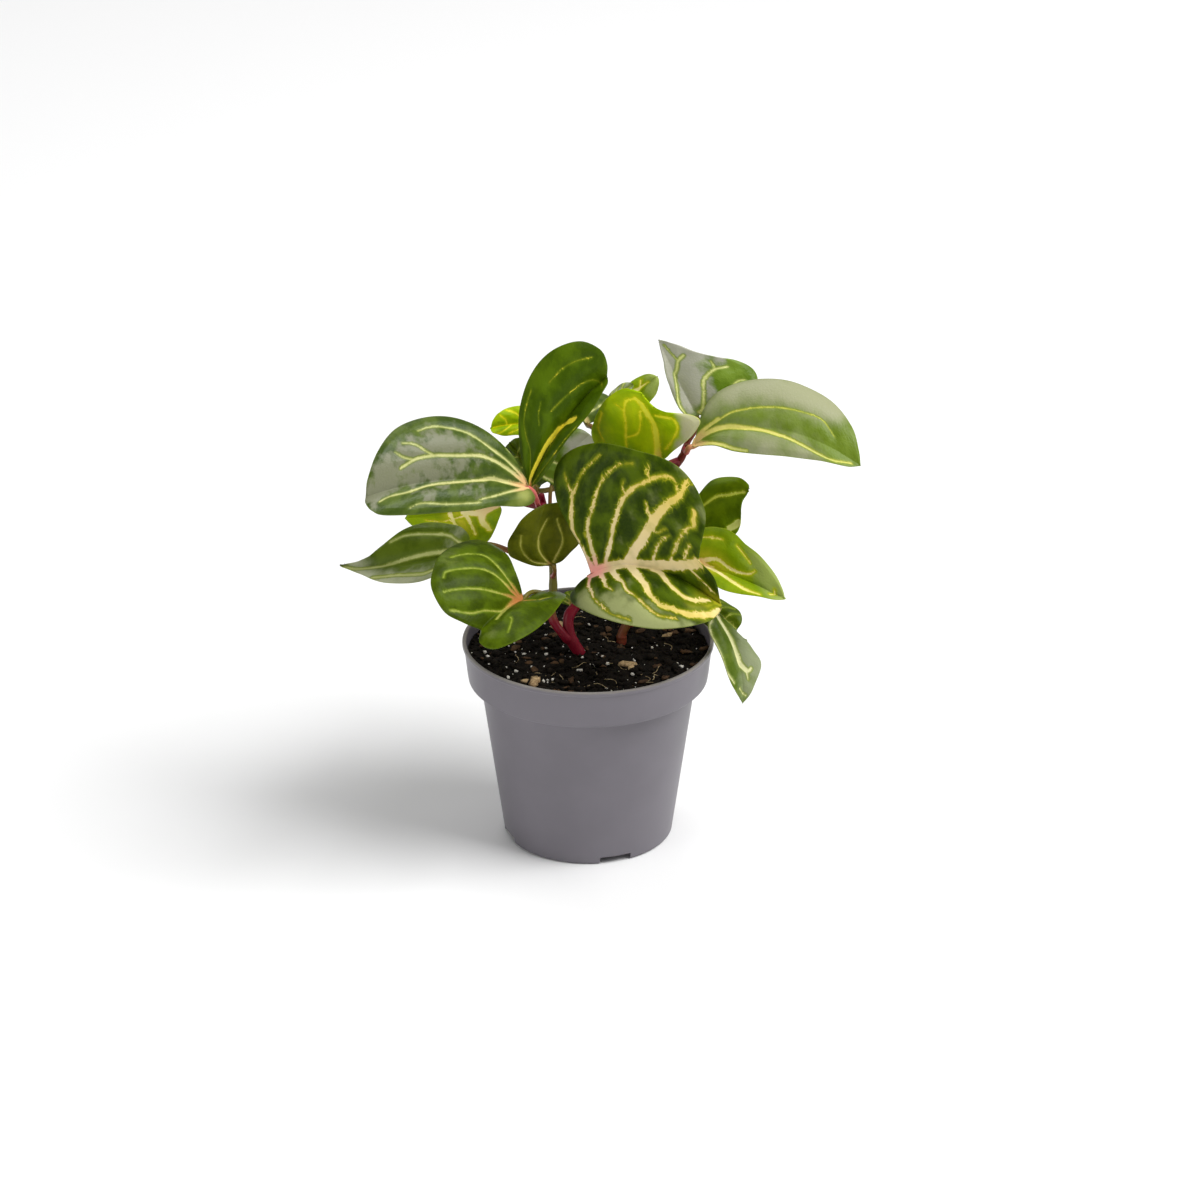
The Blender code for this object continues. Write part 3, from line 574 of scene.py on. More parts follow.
# %% Crumbs, perlite and bark
rough = np.random.default_rng(11)
spots = spots_on_soil(1500, 12)
sizes = rough.gamma(3.0, 0.55, len(spots)).clip(0.7, 4.6)
soil_crumbs = scatter("soil_crumbs", crumbs, spots, sizes, 0.12, 13)
spots = spots_on_soil(210, 14)
sizes = rough.gamma(3.0, 0.32, len(spots)).clip(0.45, 2.2)
perlite_dots = scatter("perlite_dots", perlite, spots, sizes, 0.30, 15)
spots = spots_on_soil(85, 16)
sizes = rough.uniform(1.6, 4.2, len(spots))
bark_chips = scatter("bark_chips", chips, spots, sizes, 0.18, 17, tilt=0.5)
spots = np.array([(-25.0, -39.0), (-28.5, -36.5), (18.5, -20.5), (20.5, -24.0), (-13.0, 22.0), (38.0, 14.0)])
bark_bits = scatter("bark_bits", chips, spots, [7.0, 4.0, 5.4, 3.6, 6.0, 5.0], 0.16, 18, tilt=0.35)
for item in (soil_crumbs, perlite_dots, bark_chips, bark_bits):
    print(item.name, "has", len(item.data.polygons), "faces")

# %% [markdown]
# Fibres are short curved rods. Each follows a small wave across the surface, and all of them are joined.

# %% Fibres
FIBRES = [  # middle x and y, heading in degrees, length, wave: in mm
    (-3, -21, 20, 12, 1.6), (4, -29, 75, 9, 1.2), (14, -22, -30, 11, 1.4), (-20, -30, 10, 10, 1.0),
    (30, -27, 40, 12, 1.5), (-34, -14, 80, 10, 1.2), (2, -43, 0, 14, 1.2), (38, 2, 100, 12, 1.3),
    (33, -33, 30, 9, 2.4), (28, -37, 110, 7, 2.0), (-14, -36, 60, 8, 2.0), (12, -38, 150, 8, 1.8),
    (-8, 30, 15, 14, 1.6), (24, 38, -20, 12, 1.4), (-38, 18, 60, 12, 1.2), (10, 6, 120, 9, 1.0),
]
threads = []
for k, (mx, my, heading, length, wave) in enumerate(FIBRES):
    along = np.linspace(-0.5, 0.5, 15)
    turn = math.radians(heading)
    side = wave * np.sin(along * 7 + k)
    fx = mx + along * length * math.cos(turn) - side * math.sin(turn)
    fy = my + along * length * math.sin(turn) + side * math.cos(turn)
    fz = soil_height(fx, fy) + 1.5 + 0.9 * np.cos(along * 5 + k)
    threads.append(rod("fibre", np.stack([fx, fy, fz], 1), np.full(15, 0.17), round_steps=1))
choose(*threads)
bpy.ops.object.join()
fibres = bpy.context.object
fibres.name = "soil_fibres"
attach(fibres, "root")
print("fibres:", len(FIBRES), "with", len(fibres.data.polygons), "faces")

# %% [markdown]
# Wet peat is almost black, with a faint shine where it is damp. The crumbs differ a little from each
# other, so each reads its own tint. Perlite is chalky white, and bark is tan with darker grain.

# %% Soil finishes
def soil_paint(name, dark, light, roughness, scale, depth):
    """A rough grain between two colours. Each scattered grain also has a tint of its own."""
    paint, tree, shader = new_material(name, roughness, 0.15)
    place = object_place(tree)
    grain = noise(tree, place, scale, 4.0, 0.65)
    base = blend_colour(tree, ease(tree, grain, 0.35, 0.72), dark, light)
    tint = times(tree, stored(tree, "tint"), 0.6)
    plug(tree, shader.inputs["Base Color"], blend_colour(tree, tint, base, light))
    bump(tree, shader, grain, depth, 0.9)
    return paint


peat = soil_paint("dark_peat", colour(8, 6, 3), colour(28, 21, 14), 0.9, 420.0, 0.0006)
for item in (soil_skin, soil_crumbs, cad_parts["soil"]):
    item.data.materials.clear()
    item.data.materials.append(peat)
white = soil_paint("white_perlite", colour(196, 190, 178), colour(232, 228, 220), 0.85, 900.0, 0.0002)
tan = soil_paint("tan_bark", colour(110, 84, 56), colour(206, 178, 134), 0.8, 700.0, 0.0004)
brown = soil_paint("brown_bark", colour(44, 30, 20), colour(92, 68, 46), 0.8, 700.0, 0.0004)
pale = soil_paint("pale_fibre", colour(120, 100, 70), colour(196, 178, 140), 0.8, 600.0, 0.0001)
for item, paint in ((perlite_dots, white), (bark_bits, tan), (bark_chips, brown), (fibres, pale)):
    item.data.materials.clear()
    item.data.materials.append(paint)
print("soil finishes:", [paint.name for paint in (peat, white, tan, brown, pale)])

# %% [markdown]
# ## The plant's own table
# Each stem is a smooth line through a few points, with a radius at its foot and its top. Each leaf has
# three points of its midrib, and how far its two halves reach from there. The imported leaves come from
# this same table, so the fine leaves below land exactly on them.

# %% Stems and leaves, in mm
STEMS = {
    "stem_middle": {
        "line": [(-4, -7, 95.5), (-8.5, -6, 104), (-9, -3, 113), (-2, 2, 121), (14, 12, 141), (31, 18, 167),
                 (42, 16, 183), (47, 12, 194)],
        "radii": (2.9, 1.5),
    },
    "stem_left": {
        "line": [(-7, -6.5, 100), (-12, -8, 106), (-17, -5, 114), (-16.5, 1, 127), (-17, 5, 140),
                 (-19, 8, 156), (-22, 5, 172)],
        "radii": (2.2, 1.6),
    },
    "stem_right": {
        "line": [(16, 6, 95.5), (17, 7, 101), (26, 11, 115), (38, 16, 128), (46, 20, 141), (50, 22, 154)],
        "radii": (2.4, 1.4),
    },
    "stem_back": {
        "line": [(20, 25, 95), (19, 26, 115), (13, 27, 140), (7, 27, 165), (6, 27, 186), (8, 29, 202)],
        "radii": (2.4, 1.4),
    },
}

# Left and right are as seen from the base towards the tip, with the upper face on top.
# root: the stem that carries it, and how far along. bend: where the stalk's last handle lies from the
# base. margin: the left and the right edge from base to tip, as (share along the midrib, share of the
# reach). Plainer leaves have these settings instead, each for the left and the right half. widest: where
# along the midrib. full: below 1 is broad and above 1 is slim towards base and tip. lobe and point: how
# far the margin sweeps back past the base, and on past the tip. arch, for all leaves: how far each half
# bulges up.
LEAVES = {
    "leaf_left_upper": {
        "root": ("stem_left", 0.95), "bend": (5, 4, -4),
        "base": (-28, -9, 182), "middle": (-63, -29, 194), "tip": (-101, -50, 194),
        "left": (-2, -14, -11), "right": (-6, 18, 24), "arch": (2, 5),
        "margin": ([(0, 0), (-0.03, 0.15), (-0.05, 0.35), (-0.02, 0.56), (0.06, 0.7), (0.2, 0.8),
                    (0.36, 0.95), (0.64, 0.94), (0.87, 0.76), (0.96, 0.5), (1, 0.2), (1, 0)],
                   [(0, 0), (0.05, 0.2), (0.12, 0.46), (0.25, 0.78), (0.42, 0.97), (0.6, 1),
                    (0.78, 0.88), (0.92, 0.58), (0.99, 0.25), (1, 0)]),
    },
    "leaf_tall": {
        "root": ("stem_left", 0.96), "base": (-27, 3, 177), "middle": (-13, 10, 203), "tip": (9, 22, 225),
        "left": (-12, 3, 30), "right": (8, -7, 4), "arch": (4, 1),
        "margin": ([(0, 0), (-0.01, 0.3), (0.06, 0.58), (0.18, 0.83), (0.36, 0.96), (0.57, 0.98),
                    (0.76, 0.9), (0.92, 0.72), (1.02, 0.42), (1.03, 0.18), (1, 0)],
                   [(0, 0), (0.03, 0.5), (0.2, 0.84), (0.4, 0.98), (0.62, 1.04), (0.8, 0.95),
                    (0.9, 0.7), (0.97, 0.3), (1, 0)]),
    },
    "leaf_top_left_small": {
        "root": ("stem_back", 0.8), "base": (-20, 38, 194), "middle": (-33, 35, 196), "tip": (-46, 29, 196),
        "left": (-2, -6, -4), "right": (-1, 3, 8),
    },
    "leaf_behind_left": {
        "root": ("stem_left", 0.9), "base": (-26, 13, 176), "middle": (-31, 18, 184), "tip": (-37, 23, 191),
        "left": (-7, -6, -3), "right": (6, 2, 6),
    },
    "leaf_behind_tall": {
        "root": ("stem_left", 0.86), "base": (-17, 20, 171), "middle": (-10, 26, 182), "tip": (1, 31, 192),
        "left": (-10, 3, 7), "right": (9, -4, -8), "full": (0.7, 0.7),
    },
    "leaf_centre_olive": {
        "root": ("stem_left", 0.56), "base": (-17, -6, 141), "middle": (-23, -7, 156), "tip": (-20, -3, 171),
        "left": (-15, -5, 1), "right": (18, 12, 0), "arch": (2, 2),
        "margin": ([(0, 0), (0.02, 0.5), (0.12, 0.89), (0.22, 1.07), (0.4, 1), (0.59, 0.84),
                    (0.79, 0.64), (0.95, 0.32), (1, 0)],
                   [(0, 0), (0.03, 0.22), (0.14, 0.6), (0.28, 0.97), (0.47, 1.16), (0.74, 1.04),
                    (0.96, 0.6), (1, 0)]),
    },
    "leaf_front_large": {
        "root": ("stem_middle", 0.46), "bend": (1, 8, -6),
        "base": (2, -16, 141), "middle": (29, -27, 149), "tip": (62, -41, 136),
        "left": (-8, 12, 56), "right": (7, -32, -17), "arch": (5, 4),
        "margin": ([(0, 0), (-0.04, 0.3), (-0.2, 0.75), (-0.18, 1.02), (0.17, 1.02), (0.5, 0.98),
                    (0.85, 0.99), (0.99, 0.8), (0.95, 0.5), (0.89, 0.32), (1, 0.24), (1, 0)],
                   [(0, 0), (-0.12, 0.02), (-0.24, 0.1), (-0.22, 0.32), (-0.06, 0.7), (0.15, 0.95),
                    (0.4, 1.02), (0.65, 0.88), (0.85, 0.6), (0.95, 0.3), (1, 0)]),
    },
    "leaf_right_bright": {
        "root": ("stem_right", 0.72), "base": (50, -8, 143), "middle": (69, -18, 140), "tip": (92, -30, 134),
        "left": (3, 12, 15), "right": (-2, -12, -3),
        "arch": (2, 1),
        "margin": ([(0, 0), (0.03, 0.5), (0.06, 0.9), (0.27, 1.05), (0.43, 1.03), (0.56, 0.88),
                    (0.72, 0.74), (0.88, 0.48), (0.97, 0.2), (1, 0)],
                   [(0, 0), (0.03, 0.45), (0.18, 0.85), (0.39, 1), (0.68, 0.72), (0.85, 0.52),
                    (0.97, 0.15), (1, 0)]),
    },
    "leaf_right_long": {
        "root": ("stem_middle", 0.98), "base": (49, 5, 197), "middle": (85, -6, 210), "tip": (126, -20, 197),
        "left": (2, 21, 16), "right": (1, -9, -9), "arch": (3, 1),
        "margin": ([(0, 0), (0.03, 0.2), (0.06, 0.52), (0.15, 0.82), (0.3, 0.98), (0.48, 1.01),
                    (0.66, 1.02), (0.83, 0.93), (0.95, 0.6), (0.99, 0.25), (1, 0)],
                   [(0, 0), (0.05, 0.2), (0.14, 0.43), (0.26, 0.85), (0.45, 1.07), (0.62, 0.98),
                    (0.8, 0.7), (0.93, 0.38), (1, 0)]),
    },
    "leaf_top_right": {
        "root": ("stem_middle", 0.95), "base": (51, 20, 206), "middle": (41, 26, 224), "tip": (33, 31, 240),
        "left": (-9, -3, -3), "right": (38, 2, 1), "arch": (1, 4),
        "margin": ([(0, 0), (0.03, 0.38), (0.09, 0.52), (0.18, 0.6), (0.33, 0.54), (0.51, 0.43),
                    (0.76, 0.2), (0.93, 0.06), (1, 0)],
                   [(0, 0), (0.05, 0.35), (0.12, 0.62), (0.26, 0.86), (0.42, 0.98), (0.56, 0.97),
                    (0.67, 0.82), (0.73, 0.6), (0.81, 0.38), (0.92, 0.2), (1, 0)]),
    },
    "leaf_top_small": {
        "root": ("stem_back", 0.93), "base": (20, 34, 205), "middle": (26, 38, 212), "tip": (33, 42, 217),
        "left": (-6, 2, 3), "right": (4, -5, -4), "full": (0.9, 0.9),
    },
    "leaf_top_tiny": {
        "root": ("stem_back", 0.97), "base": (10, 24, 209), "middle": (15, 26, 214), "tip": (21, 29, 218),
        "left": (-2, 2, 3), "right": (2, -3, -3), "full": (1.0, 1.0),
    },
    "leaf_lime_young": {
        "root": ("stem_middle", 0.88), "base": (34, 8, 188), "middle": (31, 5, 206), "tip": (25, 5, 224),
        "left": (-29, 15, -6), "right": (23, -6, 1), "arch": (3, 2),
        "margin": ([(0, 0), (0.03, 0.3), (0.06, 0.7), (0.15, 0.98), (0.4, 1.04), (0.65, 0.88),
                    (0.88, 0.65), (1.03, 0.38), (1.08, 0.18), (1, 0)],
                   [(0, 0), (0.07, 0.13), (0.21, 0.33), (0.38, 0.66), (0.53, 0.88), (0.66, 1),
                    (0.74, 0.85), (0.76, 0.5), (0.78, 0.2), (0.9, 0.04), (1, 0)]),
    },
    "leaf_right_middle": {
        "root": ("stem_right", 0.95), "base": (52, 17, 161), "middle": (64, 16, 166), "tip": (76, 14, 171),
        "left": (-1, 8, 6), "right": (3, -8, -15),
        "margin": ([(0, 0), (0.1, 0.6), (0.31, 1.1), (0.64, 1.05), (0.9, 0.6), (1.02, 0.2), (1, 0)],
                   [(0, 0), (0.02, 0.4), (0.08, 0.8), (0.3, 1.02), (0.54, 1.1), (0.7, 0.94),
                    (0.79, 0.6), (0.86, 0.28), (0.96, 0.12), (1, 0)]),
    },
    "leaf_right_hanging": {
        "root": ("stem_right", 0.5), "base": (60, -8, 118), "middle": (70, -17, 100), "tip": (73, -24, 77),
        "left": (11, 6, -5), "right": (-9, -8, 1),
        "margin": ([(0, 0), (0.13, 0.2), (0.28, 0.4), (0.4, 0.78), (0.52, 1.02), (0.69, 0.76),
                    (0.85, 0.4), (0.96, 0.12), (1, 0)],
                   [(0, 0), (0.06, 0.4), (0.12, 0.82), (0.26, 0.89), (0.53, 0.85), (0.76, 0.65),
                    (0.9, 0.38), (1, 0)]),
    },
    "leaf_right_hanging_back": {
        "root": ("stem_right", 0.42), "base": (54, 8, 113), "middle": (63, 4, 110), "tip": (71, -1, 105),
        "left": (6, 5, 3), "right": (0, -4, -8),
    },
    "leaf_left_pointed": {
        "root": ("stem_left", 0.64), "base": (-56, 2, 146), "middle": (-84, -8, 143), "tip": (-116, -18, 146),
        "left": (-6, -12, -7), "right": (2, 14, 17),
        "arch": (1, 3),
        "margin": ([(0, 0), (0.03, 0.5), (0.12, 0.78), (0.24, 0.92), (0.39, 0.98), (0.6, 0.81),
                    (0.78, 0.48), (0.93, 0.15), (1, 0)],
                   [(0, 0), (0.02, 0.25), (0.1, 0.5), (0.2, 0.66), (0.33, 0.8), (0.46, 0.82),
                    (0.6, 0.7), (0.74, 0.38), (0.84, 0.12), (0.93, 0.05), (1, 0)]),
    },
    "leaf_front_left": {
        "root": ("stem_left", 0.45), "bend": (4, 4, 5),
        "base": (-30, -34, 136), "middle": (-40, -48, 136), "tip": (-49, -60, 132),
        "left": (16, -14, -1), "right": (-27, 8, 24), "arch": (2, 5),
        "margin": ([(0, 0), (-0.35, 0.02), (-0.62, 0.1), (-0.6, 0.4), (-0.3, 0.75), (0.1, 0.98),
                    (0.6, 1.05), (0.98, 0.95), (1.25, 0.65), (1.25, 0.25), (1, 0)],
                   [(0, 0), (-0.06, 0.12), (-0.18, 0.38), (-0.36, 0.66), (-0.38, 0.84), (-0.28, 1),
                    (-0.03, 1.06), (0.4, 1.05), (0.8, 0.96), (1.12, 0.82), (1.3, 0.52), (1.2, 0.24),
                    (1, 0)]),
    },
    "leaf_left_yellow": {
        "root": ("stem_left", 0.93), "base": (-43, 15, 164), "middle": (-65, 18, 157), "tip": (-87, 19, 154),
        "left": (4, -6, -14), "right": (0, 5, 6),
        "margin": ([(0, 0), (-0.03, 0.25), (0.03, 0.55), (0.1, 0.8), (0.2, 1.06), (0.35, 1.15),
                    (0.54, 0.96), (0.78, 0.57), (0.94, 0.22), (1, 0)],
                   [(0, 0), (0.06, 0.3), (0.18, 0.6), (0.45, 0.91), (0.73, 0.89), (0.93, 0.35),
                    (1, 0)]),
    },
    "leaf_low_dark": {
        "root": ("stem_middle", 0.3), "base": (-8, 8, 113), "middle": (-8, 12, 115), "tip": (-5, 16, 117),
        "left": (-5, 1, 0), "right": (5, -1, 1),
    },
    "leaf_back_top": {
        "root": ("stem_back", 0.9), "base": (0, 40, 194), "middle": (-8, 56, 200), "tip": (-14, 76, 194),
        "left": (-19, -3, -2), "right": (19, 5, -2), "full": (0.7, 0.7), "arch": (3, 3),
    },
    "leaf_back_upper_right": {
        "root": ("stem_back", 0.8), "base": (22, 36, 185), "middle": (33, 52, 188), "tip": (40, 72, 182),
        "left": (-15, 8, -2), "right": (16, -5, -2), "full": (0.7, 0.7), "arch": (3, 3),
    },
    "leaf_back_upper_left": {
        "root": ("stem_back", 0.66), "base": (-24, 36, 162), "middle": (-46, 48, 168), "tip": (-68, 64, 161),
        "left": (-9, -15, -1), "right": (10, 17, -2), "full": (0.7, 0.7), "arch": (3, 3),
    },
    "leaf_back_middle": {
        "root": ("stem_back", 0.56), "base": (6, 44, 152), "middle": (8, 64, 156), "tip": (8, 88, 149),
        "left": (-20, 0, -3), "right": (20, 2, -3), "full": (0.65, 0.65), "arch": (3, 3),
    },
    "leaf_back_right": {
        "root": ("stem_back", 0.46), "base": (26, 38, 136), "middle": (40, 50, 137), "tip": (54, 66, 129),
        "left": (-10, 14, -2), "right": (11, -12, -3), "full": (0.7, 0.7), "arch": (3, 2),
    },
    "leaf_back_low_right": {
        "root": ("stem_right", 0.6), "base": (48, 34, 118), "middle": (60, 44, 119), "tip": (70, 58, 112),
        "left": (-9, 10, -1), "right": (11, -9, -3), "full": (0.75, 0.75), "arch": (2, 2),
    },
}

PLAIN_HALF = {  # where a leaf doesn't say otherwise
    "widest": (0.45, 0.45), "full": (0.8, 0.8), "lobe": (0.15, 0.15), "point": (0.0, 0.0),
    "arch": (1.5, 1.5),
}
print("stems:", len(STEMS), "leaves:", len(LEAVES))

# %% [markdown]
# ## Stems
# Living stems are never evenly thick: they swell where leaves grow. Each stem is a rod with many rings,
# and its radius follows a gentle rule with a swelling at five places. A little lump at the joint of a
# stalk hides the step between the two, as the swollen joint of a real shoot does.

# %% Stems as rods
def stem_radius(stem, share):
    """Radius in mm at a share of the stem's length, with five swellings."""
    start, end = stem["radii"]
    return start + (end - start) * share + 0.25 * np.sin(share * 5 * math.pi) ** 8


def stem_points(name, shares):
    """Points in mm along a stem's middle line."""
    return smooth_line(STEMS[name]["line"], shares)


GREEN_FROM = {  # heights in mm, and how green the stem is there
    "stem_middle": ((95, 130, 194), (0, 0.05, 0.3)),
    "stem_left": ((111, 119, 156, 168), (0, 0.95, 0.9, 0.1)),
    "stem_right": ((95, 110, 154), (0.35, 0.55, 0.85)),
    "stem_back": ((95, 120, 180), (0.2, 0.6, 0.85)),
}
stem_pieces = {}
for name, stem in STEMS.items():
    shares = np.linspace(0, 1, 70)
    line, radii = stem_points(name, shares), stem_radius(stem, shares)
    if name != "stem_left":
        foot = line[0] - np.array((0, 0, 6.0))
        line, radii = np.vstack([foot, line]), np.append(radii[0] * 1.08, radii)
    end = line[-1] + unit(line[-1] - line[-2]) * 0.8
    line, radii = np.vstack([line, end]), np.append(radii, radii[-1] * 0.45)
    piece = rod(name + "_fine", line, radii, round_steps=5)
    points = points_of(piece.data) / MM
    keep_value(piece.data, "green", np.interp(points[:, 2], *GREEN_FROM[name]))
    stem_pieces[name] = piece
choose(stem_pieces["stem_middle"], stem_pieces["stem_left"])
bpy.ops.object.join()
stem_pieces["stem_middle"].name = "stem_forked_fine"
STEM_NODES = {"stem_middle": "stem_forked", "stem_right": "stem_right", "stem_back": "stem_back"}
for piece, node in STEM_NODES.items():
    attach(stem_pieces[piece], "root")
    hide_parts(node)
stem_lengths = {}
for name in STEMS:
    steps = np.diff(stem_points(name, np.linspace(0, 1, 50)), axis=0)
    stem_lengths[name] = round(float(np.linalg.norm(steps, axis=1).sum()))
print("stem lengths in mm:", stem_lengths)

# %% [markdown]
# ## Leaf shape
# A leaf is laid out flat first: how far along the midrib a point is, and how far out. A rule turns that
# into the bent surface in space. The margin has a few plain settings for each half, so a broad leaf, a
# pointed one and one with lobes at its base all come from one rule. A leaf with a margin of its own has a
# short list of points instead, and a smooth curve runs through them.

# %% Where the margin and the surface are
def leaf_value(leaf, key, side):
    """A leaf's setting for its left (0) or right (1) half."""
    return leaf.get(key, PLAIN_HALF[key])[side]


def outline(leaf, side, turn):
    """A half's margin at turn 0 (base) to pi (tip): share along the midrib, and share of the reach."""
    if "margin" in leaf:
        return smooth_line(leaf["margin"][side], turn / math.pi).T
    widest, full, lobe, point = (leaf_value(leaf, key, side) for key in ("widest", "full", "lobe", "point"))
    rise, fall = np.clip((1 - np.cos(turn)) / 2, 0, 1), np.clip((1 + np.cos(turn)) / 2, 0, 1)
    swing = np.clip(np.sin(turn), 0, 1)
    along = rise ** (math.log(widest) / math.log(0.5)) - lobe * swing * fall**2 + point * swing * rise**2
    return along, swing**full


def blade_point(leaf, side, along, out):
    """The blade's middle surface in mm. along: 0 base to 1 tip. out: 0 midrib to 1 widest margin."""
    base, middle, tip = (np.array(leaf[k], float) for k in ("base", "middle", "tip"))
    along, out = np.asarray(along, float)[..., None], np.asarray(out, float)[..., None]
    rib = (base * (1 - along) * (1 - 2 * along) + middle * 4 * along * (1 - along)
           + tip * along * (2 * along - 1))
    reach = np.array(leaf[("left", "right")[side]], float)
    return rib + reach * out + half_up(leaf, side) * leaf_value(leaf, "arch", side) * 4 * out * (1 - out)


def half_up(leaf, side):
    """The upward direction of a half."""
    base, tip = np.array(leaf["base"], float), np.array(leaf["tip"], float)
    reach = np.array(leaf[("left", "right")[side]], float)
    return unit(np.cross(tip - base, reach) * (1 if side == 0 else -1))


def rib_length(leaf):
    """Length of the midrib in mm."""
    line = blade_point(leaf, 0, np.linspace(0, 1, 30), np.zeros(30))
    return float(np.linalg.norm(np.diff(line, axis=0), axis=1).sum())


print("midribs in mm:", {name: round(rib_length(leaf)) for name, leaf in LEAVES.items()})

# %% [markdown]
# ## Veins
# Bloodleaf is grown for its veins. On every leaf they leave the midrib and bend forward along the margin.
# Each vein here is a line of (along, out) points, with its width in mm at its start and at its end. Out is
# negative on the left half. Leaves that hardly show use the plain set, worked out by a rule.

